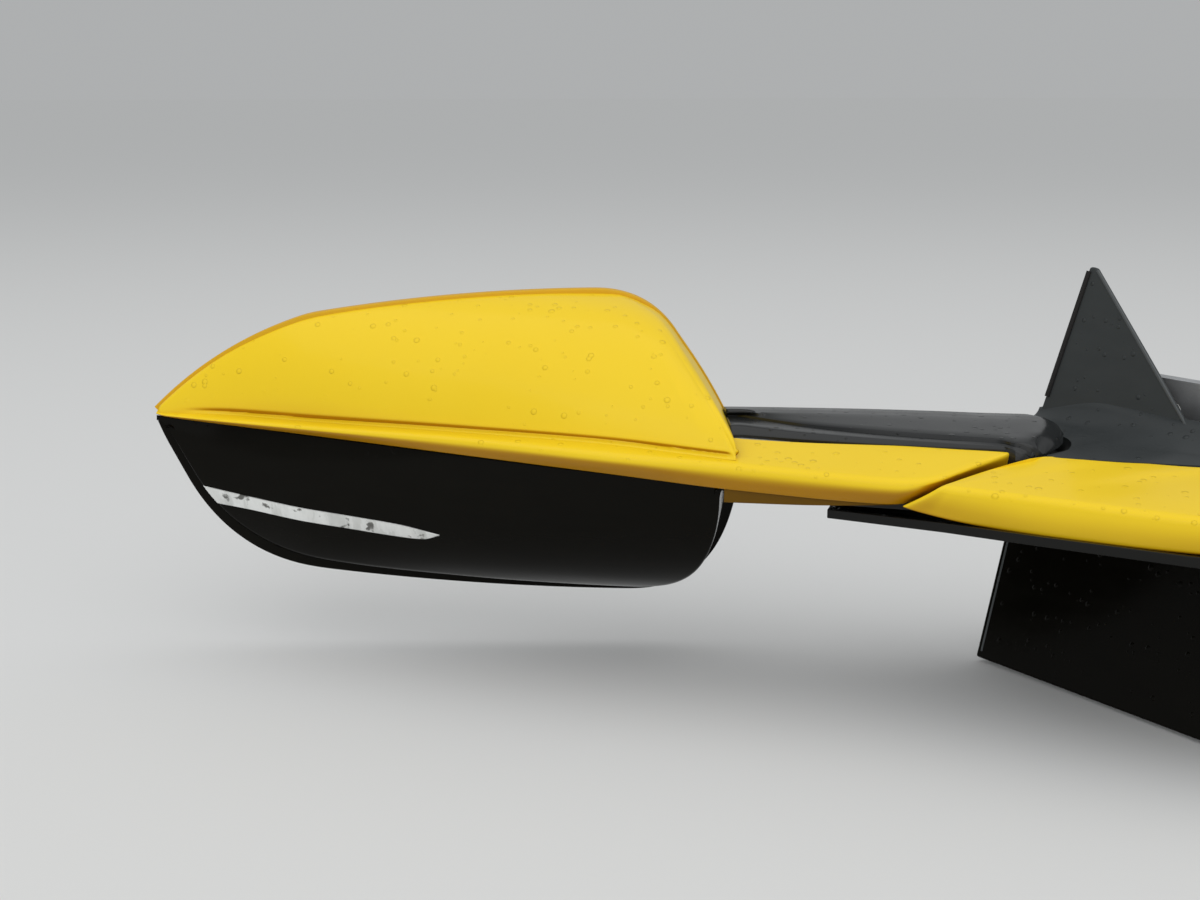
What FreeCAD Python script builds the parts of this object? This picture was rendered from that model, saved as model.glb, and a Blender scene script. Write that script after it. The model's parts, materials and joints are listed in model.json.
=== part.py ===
import FreeCAD, Part
import Sketcher
import math
import os

# A right-hand door mirror of a coupe: head, folding arm, foot and corner panel.
# Millimetres. +X points into the car, -Y to its front, +Z up.
# The origin is the middle of the mounting flange's inner face.

Vector = FreeCAD.Vector
Rotation = FreeCAD.Rotation
Placement = FreeCAD.Placement
UP = Vector(0, 0, 1)

doc = FreeCAD.newDocument("door_mirror")
sheet = doc.addObject("Spreadsheet::Sheet", "sizes")

SIZES = {
    # where the fold axis and the parting line stand from the mount
    "pivot_outboard": 80.0,
    "pivot_rearward": 45.0,
    "parting_height": 14.0,
    # angle between the arm and the door's cross line, seen from above
    "head_sweep": 33.0,
    # place of the fold axis in the head's own measures
    "pivot_from_tip": 328.0,
    "pivot_from_rim": 53.0,
    # head shells
    "shell_wall": 3.0,
    "lip_depth": 6.0,
    "lip_tip_depth": 1.5,
    "lip_full_from": 60.0,
    "lip_stand": 1.5,
    "shell_stand": 4.0,
    "shell_front_share": 0.91,
    "shell_front_reach": 90.0,
    "taper_middle": 120.0,
    "taper_drop": 15.0,
    "head_reach": 130.0,
    "parting_gap": 0.8,
    # arm end and seam
    "arm_end_radius": 43.0,
    "seam_gap": 2.0,
    "seam_offset": 36.0,
    "cover_gap": 0.8,
    "running_gap": 0.3,
    "blade_gap": 0.4,
    "blade_rim": 7.0,
    "arm_full_from": 230.0,
    "edge_round": 1.2,
    "edge_fall": 0.1,
    "ridge_back": 2.0,
    "ridge_rise": 0.6,
    "blade_clearance": 8.0,
    "arm_cover_wall": 3.0,
    "cover_round": 0.8,
    "cover_crown": 12.0,
    "cover_front_height": 0.4,
    "arm_underside": 18.0,
    "floor_plate": 2.5,
    "floor_behind": 4.0,
    "arm_start": 247.0,
    # arm core
    "core_length": 128.0,
    "core_width": 30.0,
    "core_height": 15.0,
    "core_front": 10.5,
    "core_top_drop": 1.5,
    "core_boss_radius": 20.0,
    # pivot post
    "post_radius": 9.0,
    "post_play": 0.3,
    "post_rise": 20.0,
    "post_flange_radius": 14.0,
    "post_flange_height": 2.0,
    # foot and its bracket
    "foot_rear_drop": 2.6,
    "fairing_height": 1.5,
    "foot_plate_top": 22.5,
    "plate_gap": 0.5,
    "tray_wall": 2.5,
    "tray_depth": 10.0,
    "tray_edge": 3.5,
    "tray_slope": 0.16,
    "tray_reach": 66.5,
    "bracket_height": 6.0,
    "bracket_width": 44.0,
    "bracket_rear": 0.6,
    "bracket_boss_radius": 21.0,
    "bracket_clearance": 1.0,
    "flange_wall": 6.0,
    "flange_length": 112.0,
    "flange_height": 70.0,
    "flange_corner": 12.0,
    # studs on the mounting flange
    "stud_radius": 3.0,
    "stud_shank_radius": 3.8,
    "stud_length": 22.0,
    "stud_spread": 84.0,
    "stud_rise": 44.0,
    # corner panel on the door
    "sail_lean": 15.0,
    "sail_from_pivot": 57.0,
    "sail_wall": 3.0,
    "sail_apex_height": 64.0,
    "sail_apex_forward": 11.0,
    "sail_top_width": 3.0,
    "sail_rear": 12.0,
    "sail_front": 198.0,
    "sail_split": 24.0,
    "sail_base": 106.0,
    "gasket_wall": 3.0,
    "gasket_width": 7.0,
    "gasket_inset": 2.0,
    # cable inlet
    "grommet_radius": 9.0,
    "grommet_length": 12.0,
    "grommet_bore": 4.0,
    "grommet_forward": 20.0,
    "grommet_height": 14.0,
    # mirror glass and its gimbal
    "glass_toe": 4.0,
    "gimbal_from_tip": 152.0,
    "gimbal_from_rim": 20.0,
    "gimbal_drop": 13.0,
    "glass_wall": 2.2,
    "glass_play": 0.2,
    "holder_wall": 2.5,
    "holder_stand": 8.0,
    "glass_margin": 1.5,
    "opening_gap": 4.5,
    "bezel_wall": 4.0,
    "bezel_proud": 1.5,
    "bezel_seat": 0.3,
    "ring_radius": 24.0,
    "ring_bore": 19.0,
    "ring_wall": 5.0,
    "pin_radius": 2.0,
    "pin_length": 7.0,
    "pin_play": 0.3,
    "pin_seat": 2.0,
    "lug_gap": 1.5,
    "lug_wall": 5.0,
    "lug_width": 8.0,
    "case_radius": 24.0,
    "case_wall": 6.0,
    "case_drop": 5.0,
    "through_length": 200.0,
    "frame_wall": 3.0,
    "frame_length": 80.0,
    "frame_height": 42.0,
    "frame_outboard": 27.0,
    # side lamp
    "lamp_drop": 48.2,
    "lamp_height": 6.8,
    "lamp_proud": 0.8,
    "lamp_wall": 2.0,
    "lamp_length": 120.0,
    "lamp_slope": 6.7,
    "lamp_bowl": 2.5,
    "lamp_start": 3.0,
    "lamp_gap": 0.3,
    "lamp_point": 18.0,
    "lamp_chin": 7.0,
    "lamp_tail": 20.0,
}

for row, (word, value) in enumerate(SIZES.items(), start=1):
    sheet.set("A%d" % row, word)
    sheet.set("B%d" % row, repr(value))
    sheet.setAlias("B%d" % row, word)
doc.recompute()


def size(word):
    return float(getattr(sheet, word))


def value(formula):
    """The number that a formula of the sheet's words gives."""
    return float(sheet.evalExpression(formula.replace("sizes.", "")))


def primitive(kind, name, formulas, place=Placement()):
    """A box or cylinder whose sizes follow the sheet."""
    thing = doc.addObject(kind, name)
    thing.Placement = place
    for word, formula in formulas.items():
        thing.setExpression(word, formula)
    return thing


def cylinder(name, radius, height, turn=Rotation(), x="0", y="0", z="0"):
    """Cylinder with its foot at a place given by formulas."""
    formulas = {
        "Radius": radius,
        "Height": height,
        "Placement.Base.x": x,
        "Placement.Base.y": y,
        "Placement.Base.z": z,
    }
    return primitive("Part::Cylinder", name, formulas, Placement(Vector(), turn))


def block(name, length, width, height, x, y, z):
    """Box with its lowest corner at a place given by formulas."""
    formulas = {
        "Length": length,
        "Width": width,
        "Height": height,
        "Placement.Base.x": x,
        "Placement.Base.y": y,
        "Placement.Base.z": z,
    }
    return primitive("Part::Box", name, formulas)


def fused(name, things):
    whole = doc.addObject("Part::MultiFuse", name)
    whole.Shapes = things
    whole.Refine = True
    return whole


def cut_out(name, base, tool):
    rest = doc.addObject("Part::Cut", name)
    rest.Base = base
    rest.Tool = tool
    rest.Refine = True
    return rest


def sketch(body, name, plane, lift="0"):
    """Empty sketch on one of the body's own planes, raised by a formula."""
    drawing = body.newObject("Sketcher::SketchObject", name)
    drawing.AttachmentSupport = [(item, "") for item in body.Origin.OriginFeatures if item.Role == plane]
    drawing.MapMode = "FlatFace"
    drawing.setExpression("AttachmentOffset.Base.z", lift)
    return drawing


def hold(drawing, kind, edge, end, value, formula):
    """Sets one measure of a sketch and binds it to the sheet."""
    index = drawing.addConstraint(Sketcher.Constraint(kind, edge, end, value))
    drawing.setExpression("Constraints[%d]" % index, formula)


def polygon(drawing, corners):
    """Closed outline through corners, each given by two formulas."""
    points = [Vector(value(across), value(along), 0) for across, along in corners]
    first = drawing.GeometryCount
    count = len(points)
    for index in range(count):
        drawing.addGeometry(Part.LineSegment(points[index], points[(index + 1) % count]), False)
    for index in range(count):
        after = first + (index + 1) % count
        drawing.addConstraint(Sketcher.Constraint("Coincident", first + index, 2, after, 1))
    for index, (across, along) in enumerate(corners):
        hold(drawing, "DistanceX", first + index, 1, points[index].x, across)
        hold(drawing, "DistanceY", first + index, 1, points[index].y, along)


def circle(drawing, across, along, radius):
    """Circle whose middle and radius are given by formulas."""
    middle = Vector(value(across), value(along), 0)
    reach = value(radius)
    edge = drawing.addGeometry(Part.Circle(middle, UP, reach), False)
    hold(drawing, "DistanceX", edge, 3, middle.x, across)
    hold(drawing, "DistanceY", edge, 3, middle.y, along)
    index = drawing.addConstraint(Sketcher.Constraint("Radius", edge, reach))
    drawing.setExpression("Constraints[%d]" % index, radius)


def pad(body, name, drawing, length, backwards=False):
    feature = body.newObject("PartDesign::Pad", name)
    feature.Profile = drawing
    feature.Reversed = backwards
    feature.setExpression("Length", length)
    return feature


def pocket(body, name, drawing):
    """Cuts a sketch through the whole body, both ways."""
    feature = body.newObject("PartDesign::Pocket", name)
    feature.Profile = drawing
    feature.Type = "ThroughAll"
    feature.Midplane = True
    return feature


ALONG_X = Rotation(Vector(0, 1, 0), 90)
ALONG_Y = Rotation(Vector(1, 0, 0), -90)

# Places: the arm's frame has its origin on the fold axis at the parting height,
# X inboard along the head, Y rearward. The door frame turns it back.
pivot = Vector(-size("pivot_outboard"), size("pivot_rearward"), size("parting_height"))
arm_place = Placement(pivot, Rotation(UP, -size("head_sweep")))
door_place = Placement(pivot, Rotation())
gimbal_x = size("gimbal_from_tip") - size("pivot_from_tip")
gimbal_y = size("pivot_from_rim") - size("gimbal_from_rim")
gimbal_middle = Vector(gimbal_x, gimbal_y, -size("gimbal_drop"))
glass_place = arm_place.multiply(Placement(gimbal_middle, Rotation(UP, -size("glass_toe"))))
glass_in_arm = Placement(gimbal_middle, Rotation(UP, -size("glass_toe")))
door_in_arm = arm_place.inverse().multiply(door_place)


def head_point(inboard, forward, height):
    """A point of the head, from its tip and its rim plane, in the arm's frame."""
    return Vector(inboard - size("pivot_from_tip"), size("pivot_from_rim") - forward, height)


def outline(points, lift):
    """Closed wire from rows of a, b and the bulge of the run to the next row."""
    edges = []
    for index, (a, b, bulge) in enumerate(points):
        a2, b2, _ = points[(index + 1) % len(points)]
        start = lift(a, b)
        end = lift(a2, b2)
        if abs(bulge) < 1e-6:
            edges.append(Part.makeLine(start, end))
            continue
        run = math.hypot(a2 - a, b2 - b)
        middle = lift((a + a2) / 2 - (b2 - b) / run * bulge, (b + b2) / 2 + (a2 - a) / run * bulge)
        edges.append(Part.Arc(start, middle, end).toShape())
    return Part.Wire(edges)


def loft(rows, section):
    """Solid through one closed section per row."""
    solid = Part.makeLoft([section(*row) for row in rows], True, False)
    if solid.Volume < 0:
        solid.reverse()
    return solid


def sub_part(name, made, place):
    """Names and places one piece, and wraps a free-form shape in an object."""
    piece = made
    if isinstance(made, Part.Shape):
        piece = doc.addObject("Part::Feature", name)
        piece.Shape = made.removeSplitter()
    piece.Label = name
    piece.Placement = place
    return piece


def box(x0, x1, y0, y1, z0, z1):
    return Part.makeBox(x1 - x0, y1 - y0, z1 - z0, Vector(x0, y0, z0))


def moved(shape, place):
    copy = shape.copy()
    copy.Placement = place.multiply(copy.Placement)
    return copy


# Rim of the head: from the tip, over the parting height, bulge of the run to the next row.
RIM = [
    (-5.0, 0.0, 5.0),
    (63.6, 41.3, 2.5),
    (186.4, 51.9, 5.5),
    (220.4, 31.5, 1.5),
    (245.8, -12.7, 3.0),
    (238.7, -56.2, 6.0),
    (204.0, -78.9, 2.0),
    (68.4, -69.8, 11.5),
    (5.2, -22.8, 0.8),
]

# Edge of the mirror glass, in the same columns.
GLASS = [
    (82.0, 16.0, 3.0),
    (184.0, 36.0, 5.0),
    (208.0, 22.0, 1.0),
    (229.0, -16.0, 3.0),
    (223.0, -49.0, 5.0),
    (198.0, -63.0, 1.5),
    (100.0, -58.0, 8.0),
    (71.0, -24.0, 5.0),
]

# Cap: from the tip, forward reach at the parting, rim reach, rim height, bulge.
CAP = [
    (-10.0, 4.0, 1.5, 2.0, 0.3),
    (28.0, 10.5, 4.0, 25.0, 2.0),
    (64.0, 21.5, 6.0, 39.5, 5.0),
    (126.0, 42.0, 6.0, 48.0, 9.0),
    (190.0, 66.0, 6.0, 50.5, 12.0),
    (256.0, 88.0, 6.0, 50.5, 13.0),
]

# Lower shell: from the tip, reach and drop under the blade, rim reach, rim drop, bulge.
SHELL = [
    (-10.0, 2.5, 2.4, 1.5, 14.0, 0.5),
    (28.0, 8.5, 4.9, 4.0, 50.0, 4.0),
    (64.0, 20.5, 7.7, 6.0, 68.0, 8.0),
    (126.0, 43.0, 10.9, 6.0, 75.0, 12.0),
    (190.0, 67.0, 13.9, 6.0, 77.5, 14.0),
    (256.0, 84.0, 17.0, 6.0, 78.0, 15.0),
]

# Blade and arm: from the tip, rear edge reach and height, ridge reach and drop,
# lower edge reach and drop. Outboard of the arm the blade is only a rim of some width.
BLADE = [
    (2.0, 3.2, -0.4, 7.5, 1.4, 6.0, 2.8),
    (64.0, 14.5, -0.4, 27.0, 2.5, 22.5, 7.2),
    (126.0, 35.0, -0.4, 48.0, 3.0, 45.0, 10.4),
    (190.0, 59.0, -0.4, 75.0, 4.0, 69.0, 13.4),
    (240.0, 62.0, -0.3, 88.5, 5.6, 85.0, 16.4),
    (297.0, 74.5, -0.5, 105.0, 7.5, 100.0, 18.0),
    (352.0, 88.0, -1.0, 122.0, 8.5, 118.0, 19.0),
]

# Black cover behind the yellow arm: from the tip, rear reach and height, front reach,
# crown height.
ARM_COVER = [
    (225.0, 12.0, 2.6, 59.0, 4.6),
    (297.0, 22.0, 2.8, 73.0, 5.0),
    (380.0, 34.0, 2.8, 92.0, 4.6),
]

# Foot: forward of the fold axis, ridge outboard of the sail, drop of the ridge,
# outboard reach and drop of its lower edge.
FOOT = [
    (30.0, -46.0, 8.6, -43.0, 21.5),
    (75.0, -25.0, 9.0, -23.0, 22.0),
    (120.0, -2.5, 9.5, -1.0, 22.0),
    (160.0, 24.0, 10.0, 26.0, 20.0),
    (196.0, 50.0, 11.0, 51.0, 16.0),
]


def rim_solid(inset, near, far):
    """The rim outline, inset, drawn out from one reach to another."""
    wire = outline(RIM, lambda a, b: head_point(a, near, b))
    if inset:
        wire = wire.makeOffset2D(-inset)
    return Part.Face(wire).extrude(Vector(0, near - far, 0))


def shell_block(inset, near):
    """The lower shell's outline, inset at its rim and narrowing towards the front."""
    share = size("shell_front_share")
    middle = head_point(size("taper_middle"), 0.0, -size("taper_drop"))
    rim = outline(RIM, lambda a, b: head_point(a, near, b)).makeOffset2D(-inset)
    narrowing = FreeCAD.Matrix()
    narrowing.scale(share, 1.0, share)
    front = rim.transformGeometry(narrowing)
    front.translate(Vector(middle.x * (1 - share), -size("shell_front_reach"), middle.z * (1 - share)))
    solid = Part.makeLoft([rim, front], True, True)
    if solid.Volume < 0:
        solid.reverse()
    return solid


def lip_band():
    """The lip behind both shells, thinner towards the tip."""
    full = size("lip_depth")
    tip = size("lip_tip_depth")
    rows = [
        (-size("lip_full_from"), -full, 0),
        (size("pivot_from_tip"), -full, 0),
        (size("pivot_from_tip"), full, 0),
        (size("lip_full_from"), full, 0),
        (RIM[0][0] - tip, tip, 0),
        (-size("lip_full_from"), tip, 0),
    ]
    reach = size("head_reach")
    side = Part.Face(outline(rows, lambda a, b: head_point(a, b, -reach)))
    return rim_solid(0.0, 0.0, full).common(side.extrude(UP * 2 * reach))


def bezel_pocket():
    """Straight seat behind both shells, into which the rear frame fits."""
    inset = size("lip_stand") + size("shell_wall")
    return rim_solid(inset, -inset, size("bezel_wall") - size("bezel_proud") + size("bezel_seat"))


def glass_face(grow, back):
    wire = outline(GLASS, lambda a, b: head_point(a, back, b))
    if grow:
        wire = wire.makeOffset2D(grow)
    return Part.Face(wire)


def cap_volume(shrink):
    """Space under the cap's front, drawn in by a wall."""
    def section(inboard, crease, rim, top, bulge):
        run = math.hypot(crease - rim, top)
        inward = Vector(top / run * shrink, (crease - rim) / run * shrink, 0)
        floor = size("parting_gap") / 2 - (shrink > 0) * size("shell_wall")
        foot = max(crease - inward.x * 1.2, rim * 0.5)
        rows = [
            (-size("shell_wall"), top - inward.y, 0),
            (rim - inward.x * 0.5, top - inward.y, bulge),
            (foot, 0.0, 0),
            (foot, floor, 0) if shrink else (foot - 0.2, size("parting_gap") / 2, 0),
            (-size("shell_wall"), floor, 0),
        ]
        return outline(rows, lambda a, b: head_point(inboard, a, b))
    return loft(CAP, section)


def shell_volume(shrink):
    """Space over the lower shell's front, drawn in by a wall."""
    def section(inboard, reach, drop, rim, base, bulge):
        run = math.hypot(reach - rim, base - drop)
        inward = Vector((base - drop) / run * shrink, (reach - rim) / run * shrink, 0)
        ceiling = -size("parting_gap") / 2 + (shrink > 0) * size("shell_wall")
        rows = [
            (-size("shell_wall"), ceiling, 0),
            (max(reach - inward.x, 0.6) + 0.5, ceiling, 0),
            (max(reach - inward.x, 0.6), -drop, bulge),
            (rim - inward.x * 0.5, -base + inward.y, 0),
            (-size("shell_wall"), -base + inward.y, 0),
        ]
        return outline(rows, lambda a, b: head_point(inboard, a, b))
    return loft(SHELL, section)


def moving_plan(radius, gap):
    """What the arm may fill in plan: behind the seam, inside its round end."""
    reach = 2 * size("pivot_from_tip")
    high = size("through_length") / 2
    behind = box(-reach, reach, -size("seam_offset") + gap, reach, -high, high)
    outboard = box(-reach, 0.0, -reach, reach, -high, high)
    disc = Part.makeCylinder(radius, 2 * high, Vector(0, 0, -high))
    return moved(behind.common(outboard.fuse(disc)), door_in_arm)


def make_cap():
    reach = size("head_reach")
    wall = size("shell_wall")
    stand = size("lip_stand")
    long = size("pivot_from_tip")
    above = box(-2 * long, long, -long, long, size("parting_gap") / 2, reach)
    body = rim_solid(stand, 0.0, reach).common(cap_volume(0.0))
    hollow = rim_solid(stand + wall, -wall, reach).common(cap_volume(wall))
    return lip_band().common(above).fuse(body).cut(hollow).cut(bezel_pocket())


def make_shell():
    reach = size("head_reach")
    wall = size("shell_wall")
    stand = size("shell_stand")
    long = size("pivot_from_tip")
    under = box(-2 * long, long, -long, long, -reach, -size("parting_gap") / 2)
    body = shell_block(stand, 0.0).common(shell_volume(0.0))
    hollow = shell_block(stand + wall, -wall).common(shell_volume(wall))
    return lip_band().common(under).fuse(body).cut(hollow).cut(bezel_pocket())


def blade_volume(grow, lift=0.0):
    """The blade and arm, grown by a gap and raised, for what makes room for it."""
    def section(inboard, rear, top, ridge, drop, lower, base):
        inner = max(lower - size("blade_rim"), rear) if inboard < size("arm_full_from") else rear
        edge_round = size("edge_round") + size("edge_fall") * base
        rows = [
            (rear - grow, top + grow + lift, 0),
            (ridge - size("ridge_back"), size("ridge_rise") - drop + grow + lift, edge_round),
            (lower + grow / 2, -base - grow, 0),
            (inner - grow, -base - grow, 0),
        ]
        return outline(rows, lambda a, b: head_point(inboard, a, b))
    return loft(BLADE, section)


def arm_cover_volume(wall):
    def section(inboard, rear, height, front, crown):
        low = -size("arm_underside") - wall
        edge = front - size("cover_gap") + wall * 2
        rows = [
            (rear + wall, low, 0),
            (rear + wall, height - wall, size("cover_round")),
            (rear + size("cover_crown"), crown - wall, 1.0),
            (edge, size("cover_front_height") - wall, 0),
            (edge, low, 0),
        ]
        return outline(rows, lambda a, b: head_point(inboard, a, b))
    return loft(ARM_COVER, section)


def head_space():
    """The space of the head's shells with a gap, which the arm's cover stays out of."""
    wire = outline(RIM, lambda a, b: head_point(a, -size("lip_depth"), b)).makeOffset2D(size("running_gap"))
    return Part.Face(wire).extrude(Vector(0, -size("head_reach"), 0))


def make_blade():
    return blade_volume(0.0).common(moving_plan(size("arm_end_radius"), 0.0))


def make_arm_cover():
    wall = size("arm_cover_wall")
    radius = size("arm_end_radius")
    solid = arm_cover_volume(0.0).common(moving_plan(radius, 0.0)).cut(head_space())
    hollow = arm_cover_volume(wall).common(moving_plan(radius - wall, wall))
    return solid.cut(hollow).cut(blade_volume(size("cover_gap")))


def make_arm_floor():
    """The cover under the arm, behind the yellow front."""
    wall = size("floor_plate")
    low = -size("arm_underside") - wall
    behind = size("floor_behind")
    rows = [
        (size("arm_start"), ARM_COVER[0][1] + behind / 4, 0),
        (size("arm_start"), BLADE[4][5] - behind, 0),
        (BLADE[6][0], BLADE[6][5] - behind, 0),
        (ARM_COVER[2][0], ARM_COVER[2][1] + behind / 4, 0),
    ]
    plan = Part.Face(outline(rows, lambda a, b: head_point(a, b, low)))
    plate = plan.extrude(UP * wall)
    room = size("post_flange_radius") + size("seam_gap")
    bore = Part.makeCylinder(room, 4 * wall, Vector(0, 0, low - wall))
    plate = plate.common(moving_plan(size("arm_end_radius"), 0.0))
    return plate.cut(blade_volume(size("running_gap"))).cut(bore)


def core_block(grow):
    top = -size("core_top_drop") + grow
    low = top - size("core_height") - 2 * grow
    front = -size("core_front") - grow
    return box(-size("core_length") - grow, 0, front, front + size("core_width") + 2 * grow, low, top)


def make_core():
    """Cast arm inside the covers, bored for the post."""
    low = "-sizes.core_top_drop - sizes.core_height"
    bar = block("core_bar", "sizes.core_length", "sizes.core_width", "sizes.core_height",
                "-sizes.core_length", "-sizes.core_front", low)
    boss = cylinder("core_boss", "sizes.core_boss_radius", "sizes.core_height", z=low)
    bore = cylinder("core_bore", "sizes.post_radius + sizes.post_play", "sizes.through_length",
                    z="-sizes.through_length / 2")
    room = doc.addObject("Part::Feature", "core_room")
    gap = size("cover_gap")
    room.Shape = blade_volume(gap).fuse(blade_volume(gap, size("blade_clearance")))
    return cut_out("core", fused("core_solid", [bar, boss]), fused("core_cuts", [bore, room]))


def lamp_volume(grow):
    """A sloping band round the outboard end of the lower shell."""
    length = size("lamp_length")
    half = size("lamp_height") / 2
    point = size("lamp_point")
    chin = size("lamp_chin")
    slope = math.tan(math.radians(size("lamp_slope")))
    tail = size("lamp_tail")

    def middle(inboard):
        return -size("lamp_drop") + (length - inboard) * slope

    rows = [
        (-tail, middle(-tail) + half, 0),
        (length - point, middle(length - point) + half, 0),
        (length, middle(length) + half / 4, 0),
        (length - chin, middle(length - chin) - half, 0),
        (-tail, middle(-tail) - half, 0),
    ]
    wire = outline(rows, lambda a, b: head_point(a, size("lamp_start") - grow, b))
    if grow:
        wire = wire.makeOffset2D(grow)
    return Part.Face(wire).extrude(Vector(0, -size("head_reach"), 0))


def make_lens():
    skin = shell_block(size("shell_stand"), 0.0).common(shell_volume(-size("lamp_proud")))
    return skin.cut(shell_volume(size("lamp_wall"))).common(lamp_volume(0.0))


def make_lamp_bowl():
    gap = size("running_gap")
    near = size("lamp_wall") + gap
    inside = shell_block(size("shell_stand") + size("shell_wall") + gap, 0.0)
    skin = inside.common(shell_volume(near)).cut(shell_volume(near + size("lamp_bowl")))
    return skin.common(lamp_volume(-gap))


def make_bezel():
    """Rear frame of the head, with the opening for the glass."""
    inset = size("lip_stand") + size("shell_wall") + size("bezel_seat")
    proud = size("bezel_proud")
    plate = rim_solid(inset, -proud, size("bezel_wall") - proud)
    opening = glass_face(size("glass_margin") + size("opening_gap"), -2 * proud)
    return plate.cut(opening.extrude(Vector(0, -size("head_reach"), 0)))


def glass_plate(grow, near, far):
    """The glass outline in the gimbal's frame, where Y is towards the driver."""
    wire = outline(GLASS, lambda a, b: Vector(a - size("gimbal_from_tip"), far, b + size("gimbal_drop")))
    if grow:
        wire = wire.makeOffset2D(grow)
    return Part.Face(wire).extrude(Vector(0, near - far, 0))


def make_glass():
    near = size("holder_stand") + size("holder_wall")
    return glass_plate(0.0, near, near + size("glass_wall"))


def make_holder():
    near = size("holder_stand")
    plate = glass_plate(size("glass_margin"), near, near + size("holder_wall"))
    rim = glass_plate(size("glass_margin"), near, near + size("holder_wall") + size("glass_wall"))
    rim = rim.cut(glass_plate(size("glass_play"), near, near + size("through_length")))
    start = size("ring_radius") + size("lug_gap")
    half = size("lug_width") / 2
    for side in (1, -1):
        low, high = sorted((side * start, side * (start + size("lug_wall"))))
        plate = plate.fuse(box(-half, half, -half, near + size("holder_wall"), low, high))
    long = size("through_length")
    hole = Part.makeCylinder(size("pin_radius") + size("pin_play"), long, Vector(0, 0, -long / 2))
    return plate.fuse(rim).cut(hole)


def make_ring():
    """Gimbal ring with four pins, two up and down and two across."""
    rear = "-sizes.ring_wall / 2"
    outer = cylinder("ring_outer", "sizes.ring_radius", "sizes.ring_wall", ALONG_Y, y=rear)
    inner = cylinder("ring_inner", "sizes.ring_bore", "sizes.ring_wall", ALONG_Y, y=rear)
    start = "sizes.ring_radius - sizes.pin_seat"
    back = "sizes.pin_seat - sizes.ring_radius"
    ways = [
        ("up", Rotation(), {"z": start}),
        ("down", Rotation(Vector(1, 0, 0), 180), {"z": back}),
        ("inboard", ALONG_X, {"x": start}),
        ("outboard", Rotation(Vector(0, 1, 0), -90), {"x": back}),
    ]
    pins = [cylinder("pin_" + word, "sizes.pin_radius", "sizes.pin_length", turn, **seat)
            for word, turn, seat in ways]
    return fused("ring", [cut_out("ring_band", outer, inner), *pins])


def make_case():
    """Drive of the glass, a round case with two posts for the tilt pins."""
    rear = "-sizes.case_drop - sizes.case_wall"
    start = "(sizes.ring_radius + sizes.lug_gap)"
    low = "-sizes.lug_width / 2"
    inner = "(sizes.case_radius - sizes.lug_width / 2)"
    reach = "sizes.case_drop + sizes.case_wall + sizes.lug_width / 2"
    run = "%s - %s" % (start, inner)
    wide = "sizes.lug_width"
    sides = [("inboard", start, inner), ("outboard", "-%s - sizes.lug_wall" % start, "-" + start)]
    things = [cylinder("case_round", "sizes.case_radius", "sizes.case_wall", ALONG_Y, y=rear)]
    for word, lug_x, foot_x in sides:
        things.append(block("lug_" + word, "sizes.lug_wall", reach, wide, lug_x, rear, low))
        things.append(block("foot_" + word, run, "sizes.case_wall", wide, foot_x, rear, low))
    hole = cylinder("tilt_bore", "sizes.pin_radius + sizes.pin_play", "sizes.through_length", ALONG_X,
                    x="-sizes.through_length / 2")
    return cut_out("case", fused("case_solid", things), hole)


def make_frame():
    """Plate that joins the glass drive to the arm's core."""
    plate = block("frame_plate", "sizes.frame_length", "sizes.frame_wall", "sizes.frame_height",
                  "-sizes.frame_outboard", "-sizes.case_drop - sizes.case_wall - sizes.frame_wall",
                  "-sizes.frame_height / 2")
    corner = Vector(-size("core_length"), -size("core_front"), -size("core_top_drop") - size("core_height"))
    sides = {"Length": "sizes.core_length", "Width": "sizes.core_width", "Height": "sizes.core_height"}
    place = glass_in_arm.inverse().multiply(Placement(corner, Rotation()))
    return cut_out("frame", plate, primitive("Part::Box", "frame_seat", sides, place))


def fold_shell():
    """The lower shell, open where blade, core and lamp pass."""
    gap = size("blade_gap")
    shell = make_shell().cut(blade_volume(gap, size("blade_clearance")))
    return shell.cut(core_block(gap)).cut(lamp_volume(size("lamp_gap")))


SAIL_FOOT = "-sizes.sail_base"
SAIL_SPLIT = "-sizes.sail_split"
SAIL_TIP = "sizes.sail_apex_height"

# The corner panel leans with the door, so it is drawn flat and tilted once.
lean = math.radians(size("sail_lean"))
sail_place = Placement(
    pivot + Vector(size("sail_from_pivot"), 0, 0), Rotation(Vector(0, 1, 0), size("sail_lean"))
)


def sail_corners(low, high):
    """Corners of the panel between two heights, in its own plane: Y rearward, Z up."""
    front_low = "(sizes.sail_rear - sizes.sail_front)"
    front_high = "(sizes.sail_rear - sizes.sail_apex_forward - sizes.sail_top_width)"
    share = "(%s + sizes.sail_base) / (sizes.sail_apex_height + sizes.sail_base)"
    edge = "%s + %s * (%s - %s)"

    def front(height):
        return edge % (front_low, share % height, front_high, front_low)

    def rear(height):
        above = "max(%s + sizes.sail_split; 0) / (sizes.sail_apex_height + sizes.sail_split)" % height
        return "sizes.sail_rear - sizes.sail_apex_forward * %s" % above

    return [(front(low), low), (front(high), high), (rear(high), high), (rear(low), low)]


def sail_plate(inset, near, far):
    """Both panels' outline together, inset, drawn out from one depth to another."""
    lower = sail_corners(SAIL_FOOT, SAIL_SPLIT)
    upper = sail_corners(SAIL_SPLIT, SAIL_TIP)
    corners = [lower[0], *upper[1:], lower[3]]
    rows = [(value(across), value(along), 0) for across, along in corners]
    wire = outline(rows, lambda a, b: Vector(near, a, b)).makeOffset2D(-inset)
    return Part.Face(wire).extrude(Vector(far - near, 0, 0))


def bracket_way(grow):
    """The space of the bracket's arm where it passes the panel, in the door's frame."""
    top = -size("foot_plate_top") + grow
    low = top - size("bracket_height") - 2 * grow
    rear = size("bracket_rear")
    front = rear - size("bracket_width")
    return box(0, 2 * size("pivot_outboard"), front - grow, rear + grow, low, top)


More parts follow.
